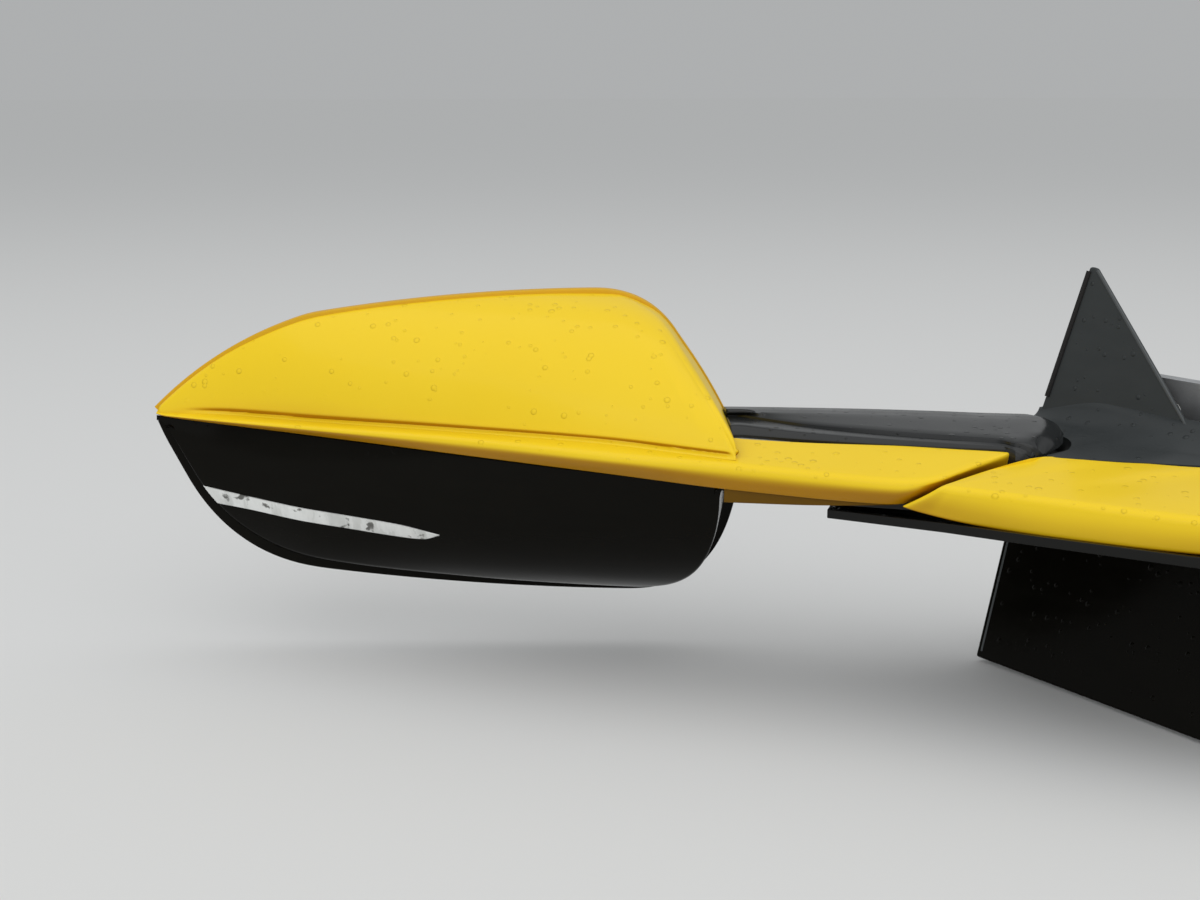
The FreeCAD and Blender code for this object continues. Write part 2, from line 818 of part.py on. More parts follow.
def make_sail(word, low, high):
    """One of the two panels, notched for the bracket."""
    body = doc.addObject("PartDesign::Body", word + "_body")
    drawing = sketch(body, word + "_outline", "YZ_Plane")
    polygon(drawing, sail_corners(low, high))
    pad(body, word + "_pad", drawing, "sizes.sail_wall")
    sides = {
        "Length": "sizes.pivot_outboard",
        "Width": "sizes.bracket_width + 2 * sizes.bracket_clearance",
        "Height": "sizes.bracket_height + 2 * sizes.bracket_clearance",
    }
    room = bracket_way(size("bracket_clearance")).BoundBox
    corner = Placement(Vector(room.XMin, room.YMin, room.ZMin), Rotation())
    place = sail_place.inverse().multiply(door_place).multiply(corner)
    return cut_out(word, body, primitive("Part::Box", word + "_notch", sides, place))


def make_gasket():
    inset = size("gasket_inset")
    near = size("sail_wall")
    far = near + size("gasket_wall")
    return sail_plate(inset, near, far).cut(sail_plate(inset + size("gasket_width"), 0.0, 2 * far))


def sail_reach(drop):
    """How far the panel's outer face stands inboard of the fold axis at a drop."""
    return size("sail_from_pivot") - drop * math.tan(lean)


def foot_volume():
    def section(forward, ridge, drop, lower, base):
        top = size("foot_rear_drop")
        edge_round = size("edge_round") + size("edge_fall") * base
        rows = [
            (sail_reach(base), -base, 0),
            (lower, -base, edge_round),
            (ridge + size("ridge_back"), size("ridge_rise") - drop, 0),
            (sail_reach(top), -top, 0),
        ]
        return outline(rows, lambda a, b: Vector(a, -forward, b))
    return loft(FOOT, section)


def socket(radius):
    """The round hollow in which the arm's end turns."""
    low = size("plate_gap") - size("foot_plate_top")
    return Part.makeCylinder(radius, size("through_length"), Vector(0, 0, low))


# Fairing on the panel beside the arm's end: across and along from the fold axis.
FAIRING = [
    (0.0, -39.5, 0),
    (0.0, 12.0, 0),
    (80.0, 12.0, 0),
    (80.0, -112.0, 0),
    (40.0, -92.0, 0),
    (24.0, -72.5, 0),
    (12.0, -56.5, 0),
]


def fairing_plan(grow):
    far = size("sail_base")
    wire = outline(FAIRING, lambda a, b: Vector(a, b, -far))
    if grow:
        wire = wire.makeOffset2D(grow)
    return Part.Face(wire).extrude(UP * 2 * far)


def make_foot():
    far = size("pivot_from_tip")
    front = box(-far, far, -far, -size("seam_offset") - size("seam_gap"), -far, far)
    solid = foot_volume().common(front)
    radius = size("arm_end_radius") + size("seam_gap")
    return solid.cut(socket(radius)).cut(fairing_plan(size("cover_gap")))


def make_fairing():
    radius = size("arm_end_radius") + size("seam_gap")
    low = size("plate_gap") - size("foot_plate_top")
    high = size("fairing_height")
    far = size("sail_front")
    rows = [
        (-size("tray_reach"), low, 0),
        (-size("tray_reach"), -high, 0),
        (sail_reach(-high), high, 0),
        (sail_reach(-low), low, 0),
    ]
    face = Part.Face(outline(rows, lambda a, b: Vector(a, far, b)))
    return face.extrude(Vector(0, -2 * far, 0)).common(fairing_plan(0.0)).cut(socket(radius))


# Plate under foot and arm end: across and along from the fold axis.
FOOT_PLATE = [
    (-66.0, 0.0, 0),
    (-30.0, 31.0, 0),
    (26.0, 30.0, 0),
    (44.0, 12.0, 0),
    (80.0, 12.0, 0),
    (80.0, -190.0, 0),
    (44.0, -190.0, 0),
    (21.0, -158.0, 0),
    (-6.0, -118.0, 0),
    (-29.0, -73.0, 0),
    (-44.0, -40.0, 0),
]


def make_foot_plate():
    """Shallow tray under the foot, which hides the bracket's arm."""
    wall = size("tray_wall")
    top = -size("foot_plate_top")
    low = top - size("tray_depth")
    far = 2 * size("sail_front")
    corner = Vector(*FOOT_PLATE[-1])
    along = Vector(*FOOT_PLATE[-2]) - corner
    edge_place = Placement(corner, Rotation(Vector(0, -1, 0), along))
    sail_rows = [(-far, top, 0), (sail_reach(-top), top, 0), (sail_reach(-low), low, 0), (-far, low, 0)]
    edge_rows = [
        (-far, top, 0),
        (far, top, 0),
        (far, low, 0),
        ((size("tray_depth") - size("tray_edge")) / size("tray_slope"), low, 0),
        (0.0, top - size("tray_edge"), 0),
        (-far, top - size("tray_edge"), 0),
    ]

    def prism(rows, raised):
        side = Part.Face(outline(rows, lambda a, b: Vector(a, far, b + raised)))
        return side.extrude(Vector(0, -2 * far, 0))

    def tray(inset, raised):
        wire = outline(FOOT_PLATE, lambda a, b: Vector(a, b, -far))
        if inset:
            wire = wire.makeOffset2D(-inset)
        plan = Part.Face(wire).extrude(UP * 2 * far)
        return plan.common(prism(sail_rows, raised)).common(moved(prism(edge_rows, raised), edge_place))

    return tray(0.0, 0.0).cut(tray(wall, wall)).cut(bracket_way(size("plate_gap")))


# Middles of the three studs on the flange.
STUDS = [
    ("-sizes.stud_spread / 2", "-sizes.stud_rise / 2"),
    ("sizes.stud_spread / 2", "-sizes.stud_rise / 2"),
    ("0", "sizes.stud_rise / 2"),
]


def make_bracket():
    """Cast bracket: flange on the door, arm through the panel, boss under the post."""
    body = doc.addObject("PartDesign::Body", "bracket_body")
    half = "sizes.flange_length / 2"
    rise = "sizes.flange_height / 2"
    plate = sketch(body, "flange_outline", "YZ_Plane")
    polygon(plate, [("-" + half, "-" + rise), (half, "-" + rise), (half, rise), ("-" + half, rise)])
    flange = pad(body, "flange", plate, "sizes.flange_wall", True)
    doc.recompute()
    across = [
        "Edge%d" % number
        for number, edge in enumerate(flange.Shape.Edges, start=1)
        if abs(edge.tangentAt(edge.FirstParameter).x) > 0.9
    ]
    corners = body.newObject("PartDesign::Fillet", "flange_corners")
    corners.Base = (flange, across)
    corners.setExpression("Radius", "sizes.flange_corner")

    low = "sizes.parting_height - sizes.foot_plate_top - sizes.bracket_height"
    rear = "sizes.pivot_rearward + sizes.bracket_rear"
    front = rear + " - sizes.bracket_width"
    arm = sketch(body, "arm_outline", "XY_Plane", low)
    polygon(arm, [
        ("-sizes.pivot_outboard", front),
        ("-sizes.flange_wall / 2", front),
        ("-sizes.flange_wall / 2", rear),
        ("-sizes.pivot_outboard", rear),
    ])
    pad(body, "bracket_arm", arm, "sizes.bracket_height")
    boss = sketch(body, "boss_outline", "XY_Plane", low)
    circle(boss, "-sizes.pivot_outboard", "sizes.pivot_rearward", "sizes.bracket_boss_radius")
    pad(body, "bracket_boss", boss, "sizes.bracket_height")
    bore = sketch(body, "post_bore_outline", "XY_Plane")
    circle(bore, "-sizes.pivot_outboard", "sizes.pivot_rearward", "sizes.post_radius")
    pocket(body, "post_bore", bore)
    holes = sketch(body, "flange_holes_outline", "YZ_Plane")
    for across_stud, up_stud in STUDS:
        circle(holes, across_stud, up_stud, "sizes.stud_shank_radius")
    circle(holes, "-sizes.grommet_forward", "sizes.grommet_height", "sizes.grommet_radius")
    pocket(body, "flange_holes", holes)
    return body


def make_studs():
    """Three studs, each with a shank pressed into the flange."""
    bars = []
    for number, (across, up) in enumerate(STUDS, start=1):
        shank = cylinder("shank_%d" % number, "sizes.stud_shank_radius", "sizes.flange_wall", ALONG_X,
                         "-sizes.flange_wall", across, up)
        thread = cylinder("thread_%d" % number, "sizes.stud_radius", "sizes.stud_length", ALONG_X,
                          "0", across, up)
        bars += [shank, thread]
    return fused("studs", bars)


def make_post():
    rod = cylinder("post_rod", "sizes.post_radius", "sizes.bracket_height + sizes.post_rise",
                   z="-sizes.foot_plate_top - sizes.bracket_height")
    collar = cylinder("post_collar", "sizes.post_flange_radius", "sizes.post_flange_height",
                      z="-sizes.foot_plate_top")
    return fused("post", [rod, collar])


def make_grommet():
    seat = {"x": "-sizes.flange_wall", "y": "-sizes.grommet_forward", "z": "sizes.grommet_height"}
    plug = cylinder("grommet_plug", "sizes.grommet_radius", "sizes.grommet_length", ALONG_X, **seat)
    bore = cylinder("grommet_way", "sizes.grommet_bore", "sizes.grommet_length", ALONG_X, **seat)
    return cut_out("grommet", plug, bore)


mount_place = Placement()
PIECES = [
    ("cap", make_cap, arm_place),
    ("lower_shell", fold_shell, arm_place),
    ("blade", make_blade, arm_place),
    ("arm_rear_cover", make_arm_cover, arm_place),
    ("arm_floor", make_arm_floor, arm_place),
    ("arm_core", make_core, arm_place),
    ("bezel", make_bezel, arm_place),
    ("lamp_lens", make_lens, arm_place),
    ("lamp_bowl", make_lamp_bowl, arm_place),
    ("mirror_glass", make_glass, glass_place),
    ("glass_holder", make_holder, glass_place),
    ("gimbal_ring", make_ring, glass_place),
    ("drive_case", make_case, glass_place),
    ("head_frame", make_frame, glass_place),
    ("sail_upper", lambda: make_sail("upper_panel", SAIL_SPLIT, SAIL_TIP), sail_place),
    ("sail_lower", lambda: make_sail("lower_panel", SAIL_FOOT, SAIL_SPLIT), sail_place),
    ("sail_gasket", make_gasket, sail_place),
    ("foot_cover", make_foot, door_place),
    ("foot_fairing", make_fairing, door_place),
    ("foot_plate", make_foot_plate, door_place),
    ("mount_bracket", make_bracket, mount_place),
    ("mount_studs", make_studs, mount_place),
    ("pivot_post", make_post, door_place),
    ("cable_grommet", make_grommet, mount_place),
]

built = []
for name, make, place in PIECES:
    built.append(sub_part(name, make(), place))
doc.recompute()

os.makedirs("parts", exist_ok=True)
for piece in built:
    shape = piece.Shape
    if piece.State and ("Invalid" in piece.State or "Error" in piece.State):
        raise RuntimeError("%s failed: %s" % (piece.Label, piece.State))
    print(piece.Label, len(shape.Solids), round(shape.Volume), shape.isValid())
    if shape.isNull() or not shape.isValid() or not shape.Solids:
        print("BAD", piece.Label)
        continue
    shape.exportStep("parts/%s.step" % piece.Label)
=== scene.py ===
import bisect
import json
import math

import bmesh
import bpy
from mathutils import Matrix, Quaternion, Vector

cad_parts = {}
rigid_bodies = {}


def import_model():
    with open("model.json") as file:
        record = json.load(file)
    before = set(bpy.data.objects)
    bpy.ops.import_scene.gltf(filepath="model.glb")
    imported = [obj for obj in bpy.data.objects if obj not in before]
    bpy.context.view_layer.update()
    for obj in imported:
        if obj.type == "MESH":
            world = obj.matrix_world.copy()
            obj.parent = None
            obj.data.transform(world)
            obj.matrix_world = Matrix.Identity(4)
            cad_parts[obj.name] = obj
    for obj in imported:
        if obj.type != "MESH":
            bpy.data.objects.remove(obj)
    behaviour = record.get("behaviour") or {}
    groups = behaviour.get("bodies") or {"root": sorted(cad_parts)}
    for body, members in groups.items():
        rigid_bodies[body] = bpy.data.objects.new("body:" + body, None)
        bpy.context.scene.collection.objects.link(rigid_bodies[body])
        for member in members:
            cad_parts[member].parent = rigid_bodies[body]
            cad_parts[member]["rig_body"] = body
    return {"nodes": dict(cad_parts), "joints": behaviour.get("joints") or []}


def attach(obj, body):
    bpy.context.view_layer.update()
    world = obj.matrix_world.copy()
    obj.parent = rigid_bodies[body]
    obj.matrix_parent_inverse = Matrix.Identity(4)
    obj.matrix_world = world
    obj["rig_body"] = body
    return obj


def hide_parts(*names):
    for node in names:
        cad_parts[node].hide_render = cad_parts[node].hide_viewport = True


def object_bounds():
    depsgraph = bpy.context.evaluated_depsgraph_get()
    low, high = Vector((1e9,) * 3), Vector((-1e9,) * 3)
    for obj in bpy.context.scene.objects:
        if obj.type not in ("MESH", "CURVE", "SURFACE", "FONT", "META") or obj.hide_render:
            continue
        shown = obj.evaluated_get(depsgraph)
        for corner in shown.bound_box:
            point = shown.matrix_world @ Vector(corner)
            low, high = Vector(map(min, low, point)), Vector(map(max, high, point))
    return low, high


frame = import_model()
cad_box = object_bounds()
nodes = frame["nodes"]

# Places, in metres. The head has its own columns: inboard from its outer tip,
# forward of its rim plane, and over the line between cap and lower shell.
joints = {joint["name"]: joint for joint in frame["joints"]}
pivot = Vector(joints["fold"]["pos_m"])
head_sweep = Quaternion((0, 0, 1), math.radians(-33))
pivot_from_tip = 0.328
pivot_from_rim = 0.053


def head(inboard, forward, height):
    """A point of the head in the row's frame, from its three measures in millimetres."""
    along, behind = inboard / 1000 - pivot_from_tip, pivot_from_rim - forward / 1000
    return pivot + head_sweep @ Vector((along, behind, height / 1000))


def door(across, along, height):
    """A point beside the fold axis, in millimetres: inboard, rearward and up from it."""
    return pivot + Vector((across, along, height)) / 1000


# Tables of the forms, in millimetres. Reach is forward of the rim plane, drop is
# down from the line between cap and lower shell.

# Outline of the head from its tip, over the top and back below: inboard, height,
# bulge of the run to the next row.
rim_rows = [
    (-5.0, 0.0, 5.0),
    (63.6, 41.3, 2.5),
    (186.4, 51.9, 5.5),
    (220.4, 31.5, 1.5),
    (245.8, -12.7, 3.0),
    (238.7, -56.2, 6.0),
    (204.0, -78.9, 2.0),
    (68.4, -69.8, 11.5),
    (5.2, -22.8, 0.8),
    (-5.0, 0.0, 0.0),
]

# Cap, by place from the tip: reach at the parting line, rim reach, rim height, bulge.
cap_rows = [
    (-10.0, 4.0, 1.5, 2.0, 0.3),
    (28.0, 10.5, 4.0, 25.0, 2.0),
    (64.0, 21.5, 6.0, 39.5, 5.0),
    (126.0, 42.0, 6.0, 48.0, 9.0),
    (190.0, 66.0, 6.0, 50.5, 12.0),
    (256.0, 88.0, 6.0, 50.5, 13.0),
]

# Lower shell, by place from the tip: reach and drop under the blade, rim reach,
# rim drop, bulge.
shell_rows = [
    (-10.0, 2.5, 2.4, 1.5, 14.0, 0.5),
    (28.0, 8.5, 4.9, 4.0, 50.0, 4.0),
    (64.0, 20.5, 7.7, 6.0, 68.0, 8.0),
    (126.0, 43.0, 10.9, 6.0, 75.0, 12.0),
    (190.0, 67.0, 13.9, 6.0, 77.5, 14.0),
    (256.0, 84.0, 17.0, 6.0, 78.0, 15.0),
]

# Blade, by place from the tip: rear edge reach and height, ridge reach and drop,
# lower edge reach and drop.
blade_rows = [
    (-4.0, 0.6, -0.1, 4.4, 0.7, 3.4, 1.6),
    (2.0, 3.2, -0.4, 7.5, 1.4, 6.0, 2.8),
    (64.0, 14.5, -0.4, 27.0, 2.5, 22.5, 7.2),
    (126.0, 35.0, -0.4, 48.0, 3.0, 45.0, 10.4),
    (190.0, 59.0, -0.4, 75.0, 4.0, 69.0, 13.4),
    (240.0, 62.0, -0.3, 88.5, 5.6, 85.0, 16.4),
    (297.0, 74.5, -0.5, 105.0, 7.5, 100.0, 18.0),
    (352.0, 88.0, -1.0, 122.0, 8.5, 118.0, 19.0),
]

# Arm's end, by station round it: ridge inboard and reach, lower edge's reach, drop
# and place inboard, rear edge inboard and reach.
arm_end_rows = [
    (0.0, 240.0, 88.5, 85.0, 16.4, 240.0, 240.0, 62.0),
    (1.0, 268.0, 97.2, 93.2, 17.4, 267.0, 264.0, 68.0),
    (2.0, 290.0, 103.6, 98.8, 17.9, 287.5, 284.0, 72.0),
    (3.0, 303.0, 106.0, 100.6, 17.8, 297.0, 302.0, 75.4),
    (4.0, 312.5, 105.0, 98.0, 17.6, 302.0, 314.0, 78.4),
    (5.0, 322.0, 99.6, 92.5, 17.4, 309.0, 325.0, 81.2),
    (6.0, 332.5, 92.6, 87.0, 16.5, 322.0, 335.0, 83.6),
    (7.0, 342.4, 86.6, 84.0, 15.0, 336.0, 341.5, 85.4),
]

# Foot, by station from its front end to the seam and along it, beside the fold axis:
# ridge across, along and drop, lower edge across, along and drop, rear edge across
# and along.
foot_rows = [
    (0.0, 50.0, -196.0, 11.0, 50.8, -196.0, 16.0, 56.2, -196.0),
    (1.0, 24.0, -160.0, 10.0, 25.6, -160.0, 20.0, 56.2, -160.0),
    (2.0, -2.5, -120.0, 9.5, -1.5, -120.0, 22.4, 56.2, -125.0),
    (3.0, -25.0, -76.0, 9.0, -24.0, -77.0, 23.0, 56.2, -103.0),
    (4.0, -37.0, -53.0, 8.8, -37.0, -50.0, 22.4, 38.0, -86.5),
    (5.0, -43.0, -43.0, 8.6, -46.0, -35.0, 20.4, 26.5, -70.8),
    (6.0, -45.0, -38.9, 8.5, -52.4, -26.0, 17.9, 18.0, -60.2),
    (7.0, -38.0, -37.9, 7.8, -42.0, -29.0, 19.0, 10.0, -51.2),
    (8.0, -25.0, -37.8, 6.2, -27.0, -35.0, 20.0, 4.5, -44.4),
    (9.0, -13.4, -40.3, 4.0, -13.0, -41.0, 20.0, -3.4, -43.1),
]

# Rear cover of the arm, by place from the tip: rear edge reach and height, crown,
# reach of the yellow edge, width of the step behind it.
cover_rows = [
    (243.0, 14.6, 2.6, 4.6, 56.8, 22.5),
    (266.0, 17.6, 2.7, 4.8, 65.8, 14.0),
    (295.0, 21.7, 2.8, 5.0, 74.6, 8.0),
    (322.5, 25.7, 2.8, 4.9, 81.2, 4.0),
    (340.0, 28.5, 2.8, 4.7, 85.4, 2.0),
    (343.0, 29.0, 2.8, 4.7, 90.5, 2.0),
    (372.0, 33.0, 2.8, 4.6, 97.0, 2.0),
]

# Fairing, by station from beside the arm to the front, beside the fold axis: front
# edge across and along, place along at the panel, share of the rise.
fairing_rows = [
    (0.0, 43.5, 6.0, 10.0, 0.3),
    (1.0, 37.0, -24.0, -14.0, 1.0),
    (2.0, 20.0, -40.0, -34.0, 1.0),
    (3.0, 5.0, -44.8, -52.0, 0.9),
    (4.0, 28.0, -73.0, -80.0, 0.8),
    (5.0, 54.6, -102.6, -104.5, 0.15),
]

# Lamp on the lower shell, by place from the tip: drop of its upper and lower edge.
lamp_rows = [
    (4.0, 30.0, 38.6),
    (14.6, 32.2, 40.2),
    (37.0, 35.8, 42.5),
    (59.6, 38.7, 45.4),
    (81.5, 40.8, 47.5),
    (103.0, 43.2, 49.7),
    (113.5, 45.4, 49.9),
    (120.0, 47.0, 47.4),
]


# Reading the tables

def between(rows, place):
    """Smooth values between the rows of a table, whose first column is the place."""
    index = min(max(sum(row[0] <= place for row in rows) - 1, 0), len(rows) - 2)
    near, far = rows[index], rows[index + 1]
    before = rows[max(index - 1, 0)]
    after = rows[min(index + 2, len(rows) - 1)]
    span = far[0] - near[0]
    share = (place - near[0]) / span
    blend = share * share * (3 - 2 * share)
    values = []
    for low, start, end, high in zip(before[1:], near[1:], far[1:], after[1:]):
        leave = (end - low) / (far[0] - before[0]) * span
        arrive = (high - start) / (after[0] - near[0]) * span
        swing = share * (1 - share) * ((1 - share) * leave - share * arrive)
        values.append(start * (1 - blend) + end * blend + swing)
    return values


def eased_in(value, low, high):
    """0 below low, 1 above high and smooth between."""
    share = min(max((value - low) / (high - low), 0), 1)
    return share * share * (3 - 2 * share)


def rolled(inset, radius):
    """How far a face lies back at an inset from an edge of this radius."""
    if inset >= radius:
        return 0.0
    return radius - math.sqrt(radius * radius - (radius - inset) ** 2)


def on_arc(height, low, high, bulge):
    """Reach at a height on the arc that bulges forward between two points."""
    run = math.dist(low, high)
    radius = run * run / (8 * bulge) + bulge / 2
    side = math.copysign(1, high[1] - low[1])
    out = Vector((side * (high[1] - low[1]), side * (low[0] - high[0]))) / run
    centre = (Vector(low) + Vector(high)) / 2 - out * (radius - bulge)
    return centre.x + math.sqrt(max(radius * radius - (height - centre.y) ** 2, 0))


class Line:
    """A line of straight and bulging runs in a plane, read by its share of length."""

    run_steps = 24
    look_ahead = 0.004

    def __init__(self, rows, soft):
        self.soft = soft
        self.points = []
        for near, far in zip(rows, rows[1:]):
            start, end, bulge = Vector(near[:2]), Vector(far[:2]), near[2]
            left = Vector((start.y - end.y, end.x - start.x)).normalized()
            for step in range(self.run_steps):
                share = step / self.run_steps
                swell = left * (4 * bulge * share * (1 - share))
                self.points.append(start.lerp(end, share) + swell)
        self.points.append(Vector(rows[-1][:2]))
        self.sums = [0.0]
        for near, far in zip(self.points, self.points[1:]):
            self.sums.append(self.sums[-1] + (far - near).length)

    def place(self, share):
        goal = min(max(share, 0), 1) * self.sums[-1]
        index = min(max(bisect.bisect_right(self.sums, goal) - 1, 0), len(self.points) - 2)
        part = (goal - self.sums[index]) / (self.sums[index + 1] - self.sums[index])
        return self.points[index].lerp(self.points[index + 1], part)

    def at(self, share):
        """The point, with corners softened over a share of the length each way."""
        room = min(self.soft, share, 1 - share)
        return sum((self.place(share + room * k / 3) for k in range(-3, 4)), Vector((0, 0))) / 7

    def outward(self, share):
        """The way out, left of the line."""
        ahead = self.at(min(share + self.look_ahead, 1)) - self.at(max(share - self.look_ahead, 0))
        return Vector((-ahead.y, ahead.x)).normalized()


# Finishes. Beads of rain: their spacing and height in metres, the share of cells
# with a bead on paint and on black, and the least radius and its growth in a cell.

bead_spacing = 0.0036
bead_height = 0.0015
paint_bead_share = 0.42
black_bead_share = 0.45
bead_radius, bead_growth = 0.12, 0.26
peel_size, peel_depth = 0.0016, 0.00001


class Flow:
    """A number that changes over a surface, so that a finish reads as sums and products."""

    def __init__(self, finish, socket):
        self.finish = finish
        self.socket = socket

    def worked(self, operation, first, second):
        return self.finish.node("ShaderNodeMath", {"operation": operation}, {0: first, 1: second})

    def __radd__(self, other):
        return self.worked("ADD", other, self)

    def __rsub__(self, other):
        return self.worked("SUBTRACT", other, self)

    def __mul__(self, other):
        return self.worked("MULTIPLY", self, other)

    def __rmul__(self, other):
        return self.worked("MULTIPLY", other, self)

    def __truediv__(self, other):
        return self.worked("DIVIDE", self, other)

    def __gt__(self, other):
        return self.worked("GREATER_THAN", self, other)


class Finish:
    """One material on a Principled shader, with its patterns in the row's metres."""

    def __init__(self, name, colour, fixed):
        self.name = name
        self.material = bpy.data.materials.new(name)
        self.material.use_nodes = True
        self.tree = self.material.node_tree
        self.shader = self.tree.nodes["Principled BSDF"]
        self.place = self.node("ShaderNodeTexCoord", output="Object")
        self.feed({"Base Color": (*colour, 1), **fixed})

    def node(self, kind, settings=None, sockets=None, output=0):
        made = self.tree.nodes.new(kind)
        for word, value in (settings or {}).items():
            setattr(made, word, value)
        for key, value in (sockets or {}).items():
            self.join(made.inputs[key], value)
        return Flow(self, made.outputs[output])

    def join(self, socket, value):
        if isinstance(value, Flow):
            self.tree.links.new(value.socket, socket)
        else:
            socket.default_value = value

    def feed(self, sockets):
        for name, value in sockets.items():
            self.join(self.shader.inputs[name], value)
        return self

    def noise(self, size, detail=2.0, stretch=(1, 1, 1)):
        """Cloudy pattern from 0 to 1, with features about size metres across."""
        place = self.node("ShaderNodeMapping", {}, {"Vector": self.place, "Scale": stretch})
        sockets = {"Vector": place, "Scale": 1 / size, "Detail": detail}
        return self.node("ShaderNodeTexNoise", {}, sockets)

    def step(self, value, low, high, out_low=0.0, out_high=1.0):
        """Goes smoothly from one number to another while the value goes from low to high."""
        sockets = {"Value": value, "From Min": low, "From Max": high}
        sockets.update({"To Min": out_low, "To Max": out_high})
        return self.node("ShaderNodeMapRange", {"interpolation_type": "SMOOTHSTEP"}, sockets)

    def mix(self, share, first, second):
        """Blend of two colours, each a plain one or one that changes."""
        sides = [side if isinstance(side, Flow) else (*side, 1) for side in (first, second)]
        sockets = {"Factor": share, "A": sides[0], "B": sides[1]}
        return self.node("ShaderNodeMix", {"data_type": "RGBA"}, sockets, output="Result")

    def bump(self, height, depth, under=None):
        sockets = {"Height": height, "Distance": depth}
        if under is not None:
            sockets["Normal"] = under
        return self.node("ShaderNodeBump", {}, sockets)

    def facing(self, axis):
        """How far the surface faces along an axis, -1 to 1."""
        normal = self.node("ShaderNodeNewGeometry", output="Normal")
        return self.node("ShaderNodeSeparateXYZ", {}, {"Vector": normal}, output=axis)

    def beads(self, share):
        """Height of beads of water on what faces up, 0 between them."""
        cells = {"Vector": self.place, "Scale": 1 / bead_spacing}
        reach = self.node("ShaderNodeTexVoronoi", {}, cells, output="Distance")
        colour = self.node("ShaderNodeTexVoronoi", {}, cells, output="Color")
        apart = self.node("ShaderNodeSeparateColor", {}, {"Color": colour}, output="Red")
        other = self.node("ShaderNodeSeparateColor", {}, {"Color": colour}, output="Green")
        radius = bead_radius + bead_growth * other * other
        sockets = {0: 1 - reach * reach / (radius * radius), 1: 0.0}
        dome = self.node("ShaderNodeMath", {"operation": "MAXIMUM"}, sockets)
        rounded = self.node("ShaderNodeMath", {"operation": "SQRT"}, {0: dome})
        return rounded * radius * (apart > 1 - share) * self.step(self.facing("Z"), 0.05, 0.3)


def yellow_paint():
    """Yellow lacquer with painted shade: its colour goes deeper where it faces down, and it is
    duller where it faces inboard, with beads of rain.
    """
    fixed = {"Coat Weight": 0.22, "Coat Roughness": 0.14, "Specular IOR Level": 0.15}
    finish = Finish("yellow_paint", (0.9, 0.62, 0.012), fixed)
    cloud = finish.noise(0.05)
    peel = finish.bump(finish.noise(peel_size, 1.0), peel_depth)
    face = finish.mix(cloud, (0.885, 0.6, 0.01), (0.915, 0.635, 0.016))
    # Deeper, browner copy of the paint: painted shade for faces turned down.
    under = finish.mix(cloud, (0.42, 0.19, 0.0012), (0.48, 0.225, 0.002))
    return finish.feed({
        # Painted shade: the colour turns to the deeper copy as the face turns down.
        "Base Color": finish.mix(finish.step(finish.facing("Z"), -0.55, 0.12), under, face),
        "Roughness": finish.step(cloud, 0.3, 0.7, 0.36, 0.44),
        "Coat Weight": finish.step(finish.facing("X"), 0.2, 0.6, 0.22, 0.02),
        "Normal": finish.bump(finish.beads(paint_bead_share), bead_height, peel),
    })


def black(name, low, high, gloss, rough, bead):
    """Black moulding between two colours, with its gloss, roughness and height of beads."""
    finish = Finish(name, low, {"Specular IOR Level": gloss})
    streak = finish.noise(0.02, 3.0, (1, 1, 3))
    return finish.feed({
        "Base Color": finish.mix(streak, low, high),
        "Roughness": finish.step(streak, 0.3, 0.75, rough, rough * 1.5),
        "Normal": finish.bump(finish.beads(black_bead_share), bead),
    })


def lamp_face():
    """Clear lens over a silvered bowl, streaked and with dark blots."""
    fixed = {"Coat Weight": 0.5, "Coat Roughness": 0.03, "Specular IOR Level": 0.4}
    finish = Finish("lamp_face", (0.6, 0.61, 0.58), fixed)
    streak = finish.noise(0.007, 3.0, (1, 1, 0.2))
    blot = finish.noise(0.006, 4.0, (1, 1, 1.2))
    grain = finish.mix(finish.step(streak, 0.35, 0.65), (0.6, 0.61, 0.585), (0.84, 0.85, 0.83))
    return finish.feed({
        "Base Color": finish.mix(finish.step(blot, 0.6, 0.68), grain, (0.12, 0.12, 0.11)),
        "Metallic": finish.step(streak, 0.4, 0.7, 0.0, 0.3),
        "Roughness": finish.step(streak, 0.35, 0.7, 0.2, 0.4),
    })


def plain(name, colour, fixed, cloud, rough, tints=None, span=(0.3, 0.7), grain=None):
    """Finish that drifts between two roughnesses over a cloud of size, detail and stretch.

    It drifts between two tints as well, and has a grain of size, detail and depth, if
    they are given.
    """
    finish = Finish(name, colour, fixed)
    drift = finish.noise(*cloud)
    sockets = {"Roughness": finish.step(drift, *span, *rough)}
    if tints:
        sockets["Base Color"] = finish.mix(drift, *tints)
    if grain:
        size, detail, depth = grain
        sockets["Normal"] = finish.bump(finish.noise(size, detail), depth)
    return finish.feed(sockets)


